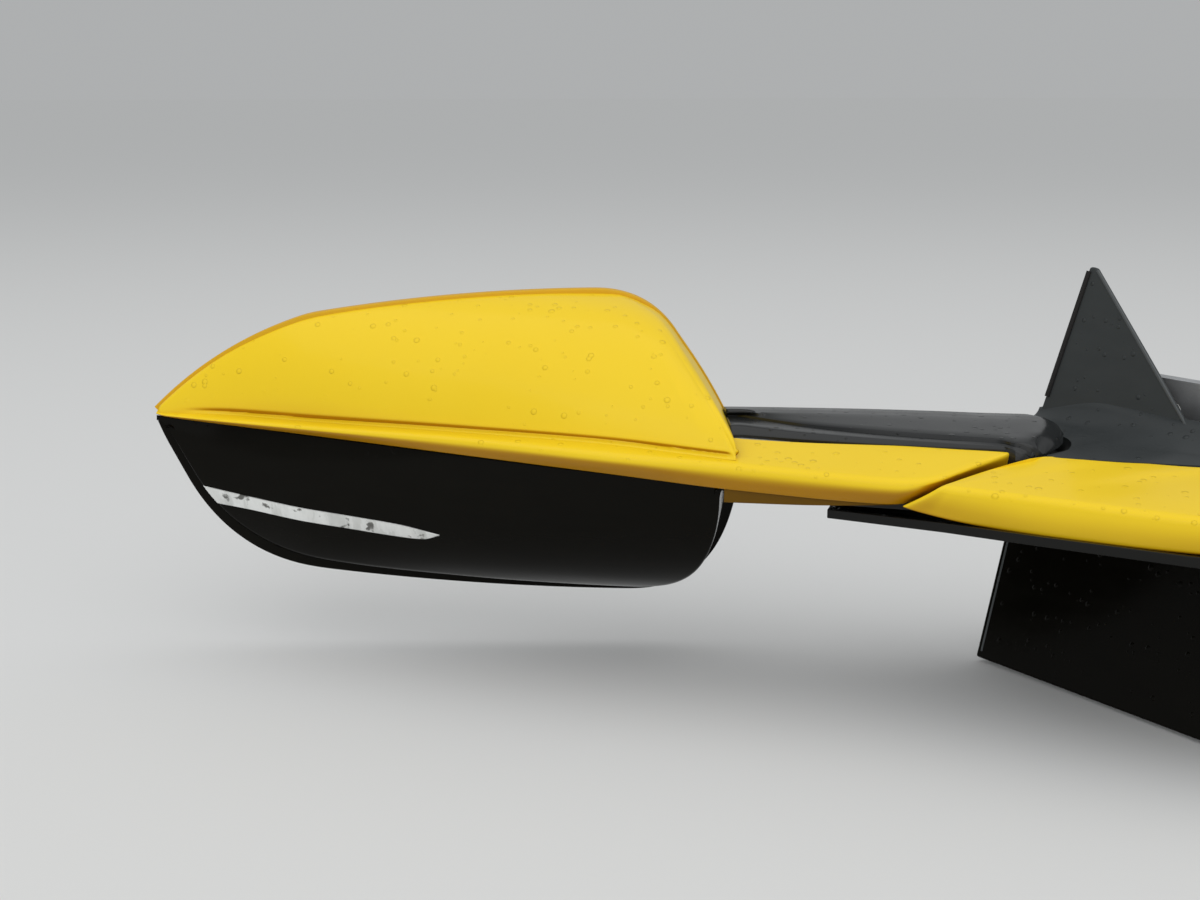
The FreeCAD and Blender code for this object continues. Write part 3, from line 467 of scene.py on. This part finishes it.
finishes = {made.name: made for made in [
    yellow_paint(),
    # Darker copy of the yellow paint for the cap's rim band: painted shade along the rim.
    plain("yellow_edge_painted_shade", (0.7, 0.38, 0.005),
          {"Coat Weight": 0.15, "Coat Roughness": 0.25, "Specular IOR Level": 0.15},
          (0.03,), (0.42, 0.5), [(0.66, 0.36, 0.004), (0.74, 0.41, 0.007)]),
    # Near-brown copy of the yellow paint: painted deep shade for the lip turned under the arm.
    plain("yellow_painted_deep_shade", (0.13, 0.06, 0.001), {"Specular IOR Level": 0.15},
          (0.02,), (0.35, 0.45), [(0.11, 0.052, 0.0008), (0.16, 0.078, 0.0015)]),
    black("gloss_black", (0.005, 0.005, 0.0045), (0.008, 0.008, 0.007), 0.2, 0.1, 0.0014),
    black("shell_black", (0.0034, 0.003, 0.002), (0.005, 0.0045, 0.003), 0.07, 0.14, 0.0012),
    black("cover_black", (0.012, 0.013, 0.0135), (0.018, 0.0195, 0.02), 0.4, 0.18, 0.0022),
    black("sail_black", (0.034, 0.038, 0.039), (0.043, 0.048, 0.049), 0.18, 0.3, 0.002),
    # Lighter copy of the sail's black for the panel beads: painted highlight along their edges.
    black("sail_edge_painted_highlight", (0.06, 0.066, 0.068), (0.075, 0.082, 0.085), 0.4, 0.2, 0.0),
    lamp_face(),
    plain("matte_black", (0.014, 0.014, 0.0135), {"Specular IOR Level": 0.35},
          (0.03, 3.0), (0.5, 0.62), [(0.012, 0.012, 0.0115), (0.018, 0.018, 0.017)],
          grain=(0.0007, 2.0, 0.00006)),
    plain("gimbal_plastic", (0.08, 0.08, 0.078), {},
          (0.012, 3.0), (0.36, 0.48), [(0.07, 0.07, 0.068), (0.095, 0.095, 0.09)]),
    plain("lamp_silver", (0.86, 0.865, 0.86), {"Metallic": 0.35},
          (0.006, 3.0), (0.18, 0.4), [(0.72, 0.73, 0.72), (0.92, 0.925, 0.92)], (0.35, 0.7)),
    plain("mirror", (0.86, 0.88, 0.9), {"Metallic": 1.0},
          (0.02, 3.0), (0.015, 0.05), span=(0.4, 0.8)),
    plain("cast_metal", (0.5, 0.51, 0.52), {"Metallic": 0.9},
          (0.015, 3.0), (0.45, 0.62), [(0.42, 0.43, 0.44), (0.56, 0.57, 0.58)],
          grain=(0.0012, 4.0, 0.00012)),
    plain("steel", (0.62, 0.62, 0.6), {"Metallic": 1.0}, (0.004, 3.0, (0.1, 1, 1)), (0.22, 0.36)),
    plain("rubber", (0.016, 0.015, 0.015), {"Specular IOR Level": 0.25},
          (0.0005, 2.0), (0.7, 0.85), grain=(0.0005, 2.0, 0.00005)),
]}


# Making pieces

cad_weld = 0.000002
cad_flat = math.radians(0.6)
skin_weld = 0.00003
eased_crease = math.radians(32)
skin_crease = math.radians(40)


def as_mesh(name, shape, crease):
    """Mesh of a finished shape, smooth but at edges sharper than the crease."""
    mesh = bpy.data.meshes.new(name)
    shape.to_mesh(mesh)
    shape.free()
    mesh.shade_smooth()
    mesh.set_sharp_from_angle(angle=crease)
    return mesh


def new_piece(name, mesh, finish, body):
    """Puts a finished mesh in the scene, on the body it moves with."""
    piece = bpy.data.objects.new(name, mesh)
    bpy.context.scene.collection.objects.link(piece)
    mesh.materials.clear()
    mesh.materials.append(finishes[finish].material)
    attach(piece, body)
    return piece


def eased(node, finish, edge):
    """The shape of a CAD node with its edges eased by a small radius."""
    source = nodes[node]
    shape = bmesh.new()
    shape.from_mesh(source.data)
    bmesh.ops.remove_doubles(shape, verts=shape.verts, dist=cad_weld)
    bmesh.ops.dissolve_limit(shape, angle_limit=cad_flat, verts=shape.verts, edges=shape.edges)
    name = node + "_finished"
    piece = new_piece(name, as_mesh(name, shape, eased_crease), finish, source["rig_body"])
    round_off = piece.modifiers.new("edges", "BEVEL")
    round_off.width = edge
    round_off.segments = 2
    round_off.limit_method = "ANGLE"
    round_off.angle_limit = eased_crease
    round_off.harden_normals = True
    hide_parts(node)


def skin(name, node, finish, columns, rows, place, wall=0.0, closed=False):
    """Smooth piece on a node's body: place(u, v) gives each point, u and v from 0 to 1."""
    shape = bmesh.new()
    bmesh.ops.create_grid(shape, x_segments=columns, y_segments=rows, size=0.5)
    for vert in shape.verts:
        vert.co = place(round(vert.co.x + 0.5, 6), round(vert.co.y + 0.5, 6))
    bmesh.ops.remove_doubles(shape, verts=shape.verts, dist=skin_weld)
    if closed:
        rims = [edge for edge in shape.edges if edge.is_boundary]
        bmesh.ops.holes_fill(shape, edges=rims, sides=0)
        bmesh.ops.recalc_face_normals(shape, faces=shape.faces)
    mesh = as_mesh(name, shape, skin_crease)
    piece = new_piece(name, mesh, finish, nodes[node]["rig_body"])
    if wall:
        thick = piece.modifiers.new("wall", "SOLIDIFY")
        thick.thickness = wall
        thick.offset = -1


def rounded(corners, cuts, steps=7, sides=4):
    """Closed run of points through corners, each cut back by a length and rounded."""
    most = 0.45
    points = []
    count = len(corners)
    for index, corner in enumerate(corners):
        before = corners[index - 1] - corner
        after = corners[(index + 1) % count] - corner
        back = before.normalized() * min(cuts[index] / 1000, before.length * most)
        on = after.normalized() * min(cuts[index] / 1000, after.length * most)
        for step in range(steps + 1):
            share = step / steps
            near = (corner + back).lerp(corner, share)
            points.append(near.lerp(corner.lerp(corner + on, share), share))
        follow = cuts[(index + 1) % count] / 1000
        end = corner + after - after.normalized() * min(follow, after.length * most)
        for step in range(1, sides):
            points.append((corner + on).lerp(end, step / sides))
    return points


def tube(name, node, finish, loops):
    """Closed piece through a stack of equal loops of points, with flat ends."""
    along, across = len(loops) - 1, len(loops[0])

    def place(u, v):
        return loops[round(u * along)][round(v * across) % across]

    skin(name, node, finish, along, across, place, closed=True)


# Cap, with a band round its rim. Places along the rim are shares of its length, what
# lies across it is in millimetres, and walls are in metres.

shell_wall = 0.0022
parting = 0.4
upper_rim = Line(rim_rows[:5], 0.012)
lower_rim = Line(rim_rows[4:], 0.02)
# Share of the upper rim at which it comes down to the parting line inboard.
cap_end = next(step / 2000 for step in range(2000, 0, -1)
               if upper_rim.at(step / 2000).y > parting + 1.6)
cap_start = 0.012
cap_face_rows = 60
cap_wall_rows = 12
cap_columns = 200
rear_reach = -1.0
# The bands' depth at the tip and how much it grows inboard, and points round a band
band_depth, band_growth = 1.5, 4.5
band_rows = 7

# The cap's edge lies inside the rim, less so on its inboard side. Its roll is larger
# inboard, a shallow groove follows the inboard edge and a deeper one the crease.
cap_inset, cap_side_gain = 1.5, 0.7
cap_roll, cap_inboard_roll = 1.3, 10.0
cap_gap, cap_least_height = 0.25, 0.3
side_depth, side_place, side_half = 0.4, 2.0, 0.5
crease_depth, crease_place, crease_half = 1.5, 1.5, 0.9


def cap_reach(inboard, height):
    crease, rim, top, bulge = between(cap_rows, inboard)
    return on_arc(min(height, top), (crease, 0.0), (rim, top), bulge)


def shell_reach(inboard, height):
    reach, drop, rim, base, bulge = between(shell_rows, inboard)
    return on_arc(max(height, -base), (reach, -drop), (rim, -base), bulge)


def blade_top(inboard, reach):
    """Height of the blade's top face at a reach."""
    rear, top, edge, drop, _, _ = between(blade_rows, inboard)
    return top + (reach - rear) / (edge - rear) * (-drop - top)


def cap_point(u, v):
    """Cap: up the front from the parting line, round its edge and back to the rim."""
    share = cap_start + (cap_end - cap_start) * u
    out = upper_rim.outward(share)
    side = eased_in(out.x, 0.45, 0.7)
    edge = upper_rim.at(share) - out * (cap_inset - cap_side_gain * side)
    row = v * (cap_face_rows + cap_wall_rows)
    corner = cap_roll + cap_inboard_roll * eased_in(edge.x, 160, 212) * eased_in(edge.y, 2, 24)
    if row > cap_face_rows:
        back = (row - cap_face_rows) / cap_wall_rows
        reach = cap_reach(edge.x, edge.y) - corner
        return head(edge.x, reach + (rear_reach - reach) * back, edge.y)
    rise = 0.5 - 0.5 * math.cos(math.pi * row / cap_face_rows)
    crease = between(cap_rows, edge.x)[0]
    foot = min(blade_top(edge.x, crease) - cap_gap, edge.y - cap_least_height)
    height = foot + (edge.y - foot) * rise
    inset = (edge.y - height) * max(out.y, 0.45)
    side_groove = side_depth * side * math.exp(-(((inset - side_place) / side_half) ** 2))
    fade = eased_in(edge.x, 6, 40) * eased_in(edge.y, 2, 9)
    above = (height - foot - crease_place) / crease_half
    foot_groove = crease_depth * fade * math.exp(-(above ** 2))
    reach = cap_reach(edge.x, height) - rolled(inset, corner) - side_groove - foot_groove
    return head(edge.x, reach, height)


def rim_band(line, start, run, width, bend):
    """The band behind the cap or lower shell, a little proud of it, along its rim line."""
    def place(u, v):
        share = start + run * u
        out = line.outward(share)
        spot = line.at(share)
        depth = band_depth + band_growth * eased_in(spot.x, -5, 60)
        profile = [(width, depth - 0.2), (bend, depth), (0.2, depth - 0.25), (0.0, depth - 0.8),
                   (0.0, 0.6), (0.3, 0.1), (width, 0.0)]
        inset, reach = profile[round(v * band_rows) % band_rows]
        spot = spot - out * inset
        return head(spot.x, reach, spot.y)
    return place


cap_rim = rim_band(upper_rim, 0.004, cap_end + 0.01 - 0.004, 2.6, 0.7)
cap_all_rows = cap_face_rows + cap_wall_rows
skin("cap_finished", "cap", "yellow_paint", cap_columns, cap_all_rows, cap_point, shell_wall)
# The band round the cap's rim is painted darker than the cap: painted shade.
skin("cap_rim", "cap", "yellow_edge_painted_shade", cap_columns, band_rows, cap_rim, closed=True)
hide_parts("cap")


# Blade and arm

blade_start = -2.4
arm_start = 240.0
arm_flat_end = 345
# Its lower face has this width, and widens to the rear edge from here to the arm.
floor_width = 7
inner_start = 226
station_steps = 12
arm_first_span = 28
# The corner in the middle of a front: its share of the fall and of the way, and swell
front_bend = 0.45
arm_bend, foot_bend = 0.35, 0.4
arm_swell, foot_swell = 0.4, 0.8
# The lip under the arm's front: where it runs, how deep it is, how far it goes in
lip_start, lip_run = 234.0, 62.0
lip_least, lip_growth = 0.9, 4.6
lip_top = 0.4


def blade_section(inboard):
    """Corners of the blade's section at a place, and how far each is cut back."""
    rear, top, edge, drop, lower, base = between(blade_rows, inboard)
    inner = max(lower - floor_width, 0.5)
    if inboard >= inner_start:
        shift = (inboard - inner_start) / (arm_start - inner_start)
        inner = lower - floor_width - shift * (lower - floor_width - rear)
    return [
        head(inboard, rear, top),
        head(inboard, edge, -drop),
        head(inboard, edge + arm_swell, -drop - (base - drop) * front_bend),
        head(inboard, lower, -base),
        head(inboard, inner, -base),
    ], [0.5, 3.4, 4.0, 0.8, 0.5]


def arm_section(station):
    """Corners of the arm's section at a station round its end, and their cuts."""
    ridge_inboard, ridge, lower, base, low_inboard, back_inboard, back = between(
        arm_end_rows, station)
    turned = eased_in(station, 2.6, 4.4)
    ridge_height = blade_top(min(ridge_inboard, arm_flat_end), ridge)
    back_height = blade_top(min(back_inboard, arm_flat_end), back)
    fall = ridge_height + base
    out = arm_swell * (1 - turned)
    middle_inboard = ridge_inboard + (low_inboard - ridge_inboard) * arm_bend
    middle = ridge + (lower - ridge) * arm_bend + out + arm_bend * (ridge - lower) * (1 - turned)
    return [
        head(back_inboard, back, back_height),
        head(ridge_inboard, ridge, ridge_height),
        head(middle_inboard, middle, ridge_height - fall * front_bend),
        head(low_inboard, lower, -base),
        head(back_inboard, back, -base),
    ], [1.0, 3.4 + 1.4 * turned, 4.0, 0.8, 0.5]


def lip_section(share):
    """The turned lip that hangs from the arm's lower front edge, shallower inboard."""
    inboard = lip_start + lip_run * share
    if inboard > arm_start:
        station = (inboard - arm_start) / arm_first_span
        _, _, lower, base, _, _, _ = between(arm_end_rows, station)
    else:
        _, _, _, _, lower, base = between(blade_rows, inboard)
    deep = lip_least + lip_growth * (1 - share)
    return [
        head(inboard, lower - 1.0, lip_top - base),
        head(inboard, lower - 1.4, -base - deep),
        head(inboard, lower - 3.2, -base - deep),
        head(inboard, lower - 3.2, lip_top - base),
    ], [0.2, 0.5, 0.5, 0.2]


blade_loops = [rounded(*blade_section(blade_start + (arm_start - blade_start) * step / 100))
               for step in range(101)]
blade_loops += [rounded(*arm_section(step / station_steps)) for step in range(1, 85)]
tube("blade_finished", "blade", "yellow_paint", blade_loops)
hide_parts("blade")
# The lip takes the yellow paint darkened to near brown: painted shade for its place under the arm.
lip_loops = [rounded(*lip_section(step / 40), 3, 3) for step in range(41)]
tube("arm_lip", "arm_floor", "yellow_painted_deep_shade", lip_loops)


# Foot

foot_back_drop, foot_back_gain = 2.2, 0.4
foot_back_width = 5.0


def foot_section(station):
    """Corners of the foot's section at a station, and how far each is cut back."""
    across, along, drop, low_across, low_along, base, back_across, back_along = between(
        foot_rows, station)
    turned = eased_in(station, 5.2, 6.6)
    back_drop = foot_back_drop + foot_back_gain * (1 - turned)
    middle_across = across + (low_across - across) * foot_bend - foot_swell * (1 - turned)
    middle_along = along + (low_along - along) * foot_bend
    return [
        door(back_across, back_along, -back_drop),
        door(across, along, -drop),
        door(middle_across, middle_along, -drop - (base - drop) * front_bend),
        door(low_across, low_along, -base),
        door(back_across - foot_back_width, back_along, -base),
    ], [0.6, 4.6 - 3.4 * turned, 5.0, 1.0, 0.5]


foot_loops = [rounded(*foot_section(step / station_steps)) for step in range(109)]
tube("foot_finished", "foot_cover", "yellow_paint", foot_loops)
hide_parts("foot_cover")


# Rear cover of the arm

cover_start, cover_end = 238.0, 369.0
cover_first = 243
full_step = 22.5
cover_wall = 0.0015
# Round end: how far from the fold axis it starts and ends, its roll and fall, all in
# millimetres, and the quarter beside the arm that it leaves out, in metres
end_flat, end_limit = 36.0, 41.7
end_roll = 8.0
end_fall = 0.8
arm_side, arm_rear = -0.004, -0.02


def cover_point(u, v):
    """From the yellow edge up over the cover's step, back to its rear edge and down."""
    inboard = cover_start + (cover_end - cover_start) * u
    rear, height, crown, front, step = between(cover_rows, max(inboard, cover_first))
    size = min(step / full_step, 1)
    rows = [
        (front - 0.5, -14.0),
        (front - 0.5, -0.3),
        (front - 0.9, 0.1),
        (front - 1.2 - 3.4 * size, 0.5 + 2.2 * size),
        (front - 2.0 - 3.6 * size, 0.6 + 2.3 * size),
        (front - 1.8 - step, 1.2 + 1.4 * size),
        (front - 2.2 - step, 0.5 + 1.4 * size),
        (front - 3.0 - step, 0.5 + 1.4 * size),
        (front - 3.4 - step, 2.3 + 0.9 * size),
        (front - 4.4 - step, 2.7 + 0.9 * size),
        (rear + 20, crown),
        (rear + 12, crown),
        (rear + 4, crown - 0.5),
        (rear + 1.2, height - 0.2),
        (rear + 0.2, height - 1.4),
        (rear, height - 3.0),
        (rear, -16.0),
    ]
    place = v * (len(rows) - 1)
    index = min(int(place), len(rows) - 2)
    share = place - index
    reach = rows[index][0] * (1 - share) + rows[index + 1][0] * share
    level = rows[index][1] * (1 - share) + rows[index + 1][1] * share
    return round_end(head(inboard, reach, level))


def round_end(spot):
    """Draws a point of the cover in to the arm's round end and rolls its edge down."""
    flat = Vector((spot.x - pivot.x, spot.y - pivot.y))
    away = flat.length * 1000
    on_arm = flat.x < arm_side and flat.y > arm_rear
    if on_arm or away <= end_flat:
        return spot
    turn = min((away - end_flat) / end_roll, 1.0) * math.pi / 2
    reach = end_flat + (end_limit - end_flat) * math.sin(turn)
    drop = (end_limit - end_flat) * (1 - math.cos(turn)) * end_fall
    flat = flat.normalized() * reach / 1000
    return Vector((pivot.x + flat.x, pivot.y + flat.y, spot.z - drop / 1000))


skin("cover_finished", "arm_rear_cover", "cover_black", 110, 64, cover_point, cover_wall)
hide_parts("arm_rear_cover")


# Fairing between the foot and the corner panel

# Heights of its front wall's foot and top and of its flat's end, shares that the wall
# and the flat take, and rise of the hollow behind them
fairing_low, fairing_front, fairing_flat_top = -9.0, -2.3, -0.5
fairing_wall_share = 0.2
fairing_flat = 0.55
fairing_rise = 11.0
fairing_stations = 5
fairing_wall = 0.0012
panel_across = 57.0
panel_slope = 0.268
panel_sink = 0.4
panel_low = -20


def fairing_point(u, v):
    """Fairing: from the foot's rear edge, flat and then up in a hollow onto the panel."""
    across, along, panel_along, size = between(fairing_rows, u * fairing_stations)
    share = max((v - fairing_wall_share) / (1 - fairing_wall_share), 0.0)
    if v < fairing_wall_share:
        level = fairing_low + (fairing_front - fairing_low) * v / fairing_wall_share
    else:
        level = fairing_front + (fairing_flat_top - fairing_front) * min(share / fairing_flat, 1)
        hollow = max((share - fairing_flat) / (1 - fairing_flat), 0.0)
        level += fairing_rise * size * (1 - math.sqrt(max(1 - hollow * hollow, 0)))
    top = panel_across + max(level, panel_low) * panel_slope + panel_sink
    return door(across + (top - across) * share, along + (panel_along - along) * share, level)


skin("fairing_finished", "foot_fairing", "sail_black", 90, 40, fairing_point, fairing_wall)
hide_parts("foot_fairing")


# Lower shell, with a band round its rim

shell_start, shell_run = 0.012, 0.955
shell_top_start, shell_top_end = 236.5, -3.0
shell_top_rise = 0.3
shell_middle = Vector((120.0, -15.0))
shell_guess, shell_tries = 20.0, 12
# The outline shrinks towards its middle by this share over this depth.
shell_taper = 0.09
shell_depth = 90
shell_stand = 4.0
shell_corner = 1.6
shell_lip = 0.7
shell_face_rows = 56
shell_wall_rows = 14
shell_columns = 220


def shell_outline(share, reach):
    """The lower outline drawn in towards the front, at a reach."""
    line = lower_rim.at(share) - lower_rim.outward(share) * shell_stand
    return shell_middle + (line - shell_middle) * (1 - shell_taper * reach / shell_depth)


def shell_edge(share):
    """Where the lower shell's front meets its side, and the reach there."""
    reach = shell_guess
    for _ in range(shell_tries):
        edge = shell_outline(share, reach)
        reach = shell_reach(edge.x, edge.y)
    return edge, reach


def shell_point(u, v):
    """Lower shell: down the front from under the blade, round its edge and back to the rim."""
    share = shell_start + shell_run * u
    edge, edge_reach = shell_edge(share)
    row = v * (shell_face_rows + shell_wall_rows)
    if row > shell_face_rows:
        back = (row - shell_face_rows) / shell_wall_rows
        reach = (edge_reach - shell_corner) * (1 - back) + rear_reach * back
        place = shell_outline(share, max(reach, 0))
        return head(place.x, reach, place.y)
    along = shell_top_start + (shell_top_end - shell_top_start) * u
    top = Vector((along, -between(shell_rows, along)[1] + shell_top_rise))
    fall = 0.5 - 0.5 * math.cos(math.pi * row / shell_face_rows)
    place = top.lerp(edge, fall)
    reach = shell_reach(place.x, place.y) - rolled((edge - place).length * 0.9, shell_corner)
    reach -= rolled(top.y - place.y, shell_lip)
    return head(place.x, reach, place.y)


shell_rim = rim_band(lower_rim, 0.008, 0.975, 6.6, 0.8)
shell_all_rows = shell_face_rows + shell_wall_rows
skin("shell_finished", "lower_shell", "shell_black", shell_columns, shell_all_rows,
     shell_point, shell_wall)
skin("shell_rim", "lower_shell", "shell_black", cap_columns, band_rows, shell_rim, closed=True)
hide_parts("lower_shell")


# Lamp

lamp_stand = 0.5
lamp_start, lamp_run = 3.0, 116.9
lamp_edge, lamp_roll = 0.7, 0.9
lamp_wall = 0.0008
tip_clear, tip_fade, tip_sink = 0.6, 1.5, 0.5
# The shell's outline from low on its outer side up to its tip
tip_edge = [shell_edge(0.6 + 0.38 * step / 150)[0] for step in range(151)]


def lamp_point(u, v):
    """Lamp face on the lower shell, with its rim rolled down and held inside the tip."""
    inboard = lamp_start + lamp_run * (1 - (1 - u) ** 1.3)
    high, low = between(lamp_rows, inboard)
    height = -low + (low - high) * v
    edge = min(v, 1 - v) * (low - high)
    reach = shell_reach(inboard, height) + lamp_stand
    if edge < lamp_edge:
        reach -= lamp_roll * (1 - math.sqrt(1 - (1 - edge / lamp_edge) ** 2))
    near = min(tip_edge, key=lambda spot: abs(spot.y - height)).x + tip_clear
    if inboard >= near + tip_fade:
        return head(inboard, reach, height)
    sunk = lamp_stand - tip_sink * min((near + tip_fade - inboard) / tip_fade, 1.0)
    inboard = max(inboard, near)
    return head(inboard, min(reach, shell_reach(inboard, height) + sunk), height)


skin("lamp_face", "lamp_lens", "lamp_face", 120, 14, lamp_point, lamp_wall)
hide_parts("lamp_lens")


# Beads and seal on the corner panel

lean = math.radians(15)
strip_steps = 4
strip_sink = 0.6
strip_round = 0.8


def panel(along, height, out):
    """A point on the corner panel's outer face, and out from it, in its own plane."""
    across = panel_across + height * math.sin(lean) - out * math.cos(lean)
    return door(across, along, height * math.cos(lean) + out * math.sin(lean))


def strip(name, node, finish, start, end, wide, out):
    """A thin bead on the corner panel between two places, given as along and up it."""
    start, end = Vector(start), Vector(end)
    way = (end - start).normalized()
    side = Vector((-way.y, way.x)) * wide / 2
    loops = []
    for step in range(strip_steps + 1):
        spot = start.lerp(end, step / strip_steps)
        one, two = spot + side, spot - side
        loops.append(rounded([
            panel(one.x, one.y, -strip_sink),
            panel(one.x, one.y, out),
            panel(two.x, two.y, out),
            panel(two.x, two.y, -strip_sink),
        ], [0.1, out * strip_round, out * strip_round, 0.1], 4, 2))
    tube(name, node, finish, loops)


strip("sail_seal", "sail_upper", "rubber", (6.9, 8.0), (0.6, 62.0), 2.2, 0.9)
# These beads take a lighter black than the panel: a painted highlight along the raised edges.
strip("sail_front_bead", "sail_upper", "sail_edge_painted_highlight", (-79.5, -8.0), (-3.4, 62.6), 1.0, 0.35)
strip("panel_top_bead", "sail_lower", "sail_edge_painted_highlight", (8.6, -30.0), (-150.0, -35.5), 0.9, 0.4)
strip("panel_rear_bead", "sail_lower", "sail_edge_painted_highlight", (9.4, -28.0), (9.4, -103.0), 0.9, 0.4)


# The other pieces keep their solid's shape: finish, and radius of their edges in metres
edges = {
    "foot_plate": ("gloss_black", 0.0006),
    "sail_upper": ("sail_black", 0.0009),
    "sail_lower": ("shell_black", 0.0009),
    "arm_floor": ("matte_black", 0.0004),
    "bezel": ("matte_black", 0.0006),
    "glass_holder": ("matte_black", 0.00015),
    "drive_case": ("matte_black", 0.0004),
    "head_frame": ("matte_black", 0.0004),
    "gimbal_ring": ("gimbal_plastic", 0.0003),
    "lamp_bowl": ("lamp_silver", 0.0002),
    "mirror_glass": ("mirror", 0.0004),
    "arm_core": ("cast_metal", 0.0005),
    "mount_bracket": ("cast_metal", 0.0008),
    "pivot_post": ("steel", 0.0005),
    "mount_studs": ("steel", 0.0003),
    "sail_gasket": ("rubber", 0.0005),
    "cable_grommet": ("rubber", 0.0005),
}
for node, (finish, edge) in edges.items():
    eased(node, finish, edge)


# Studio: lamps by their offset from the part's middle and size in metres, and watts

lamps = {
    "sky": ((-0.3, -0.5, 1.8), (3.4, 3.4), 24),
    "front": ((-1.6, -1.6, 0.9), (2.6, 2.0), 9),
}
floor_half = 60
floor_gap = 0.001
light_colour, light_strength = (0.96, 0.98, 1.0, 1), 0.62
shown_colour, shown_strength = (0.96, 0.98, 0.99, 1), 0.44


def area_light(name, place, aim, size, power):
    data = bpy.data.lights.new(name, "AREA")
    data.shape = "RECTANGLE"
    data.size, data.size_y = size
    data.energy = power
    lamp = bpy.data.objects.new(name, data)
    bpy.context.scene.collection.objects.link(lamp)
    lamp.location = place
    lamp.rotation_euler = (aim - place).to_track_quat("-Z", "Y").to_euler()


def floor(level):
    """Wide pale floor under the part."""
    shape = bmesh.new()
    bmesh.ops.create_grid(shape, x_segments=1, y_segments=1, size=floor_half)
    bmesh.ops.translate(shape, verts=shape.verts, vec=(0, 0, level))
    mesh = as_mesh("floor", shape, skin_crease)
    ground = bpy.data.objects.new("floor", mesh)
    bpy.context.scene.collection.objects.link(ground)
    finish = Finish("floor", (0.7, 0.7, 0.69), {"Roughness": 0.95, "Specular IOR Level": 0.0})
    mesh.materials.append(finish.material)


def backdrop():
    """Plain light from all round, shown a little darker to the camera and in reflections."""
    world = bpy.data.worlds.new("studio")
    bpy.context.scene.world = world
    world.use_nodes = True
    tree = world.node_tree

    def larger(first, second):
        made = tree.nodes.new("ShaderNodeMath")
        made.operation = "MAXIMUM"
        tree.links.new(first, made.inputs[0])
        tree.links.new(second, made.inputs[1])
        return made.outputs[0]

    light = tree.nodes["Background"]
    light.inputs["Color"].default_value = light_colour
    light.inputs["Strength"].default_value = light_strength
    shown = tree.nodes.new("ShaderNodeBackground")
    shown.inputs["Color"].default_value = shown_colour
    shown.inputs["Strength"].default_value = shown_strength
    ray = tree.nodes.new("ShaderNodeLightPath").outputs
    seen = larger(ray["Is Camera Ray"], ray["Is Transmission Ray"])
    mix = tree.nodes.new("ShaderNodeMixShader")
    tree.links.new(larger(seen, ray["Is Glossy Ray"]), mix.inputs[0])
    tree.links.new(light.outputs[0], mix.inputs[1])
    tree.links.new(shown.outputs[0], mix.inputs[2])
    tree.links.new(mix.outputs[0], tree.nodes["World Output"].inputs["Surface"])


# Camera: its place in the head's columns, where it looks, and its lens in millimetres
camera_place = (186.43, 708.0, 132.09)
camera_look = Vector((0.5327, 0.8203, -0.2079))
camera_lens = 50.4
camera_sensor = 36


def camera():
    data = bpy.data.cameras.new("camera")
    data.sensor_width = camera_sensor
    data.lens = camera_lens
    eye = bpy.data.objects.new("camera", data)
    bpy.context.scene.collection.objects.link(eye)
    eye.location = head(*camera_place)
    eye.rotation_euler = camera_look.to_track_quat("-Z", "Y").to_euler()
    bpy.context.scene.camera = eye


low, high = (Vector(corner) for corner in cad_box)
middle = (low + high) / 2
for name, (offset, size, power) in lamps.items():
    area_light(name, middle + Vector(offset), middle, size, power)
floor(low.z - floor_gap)
backdrop()
camera()
bpy.context.scene.view_settings.view_transform = "Standard"
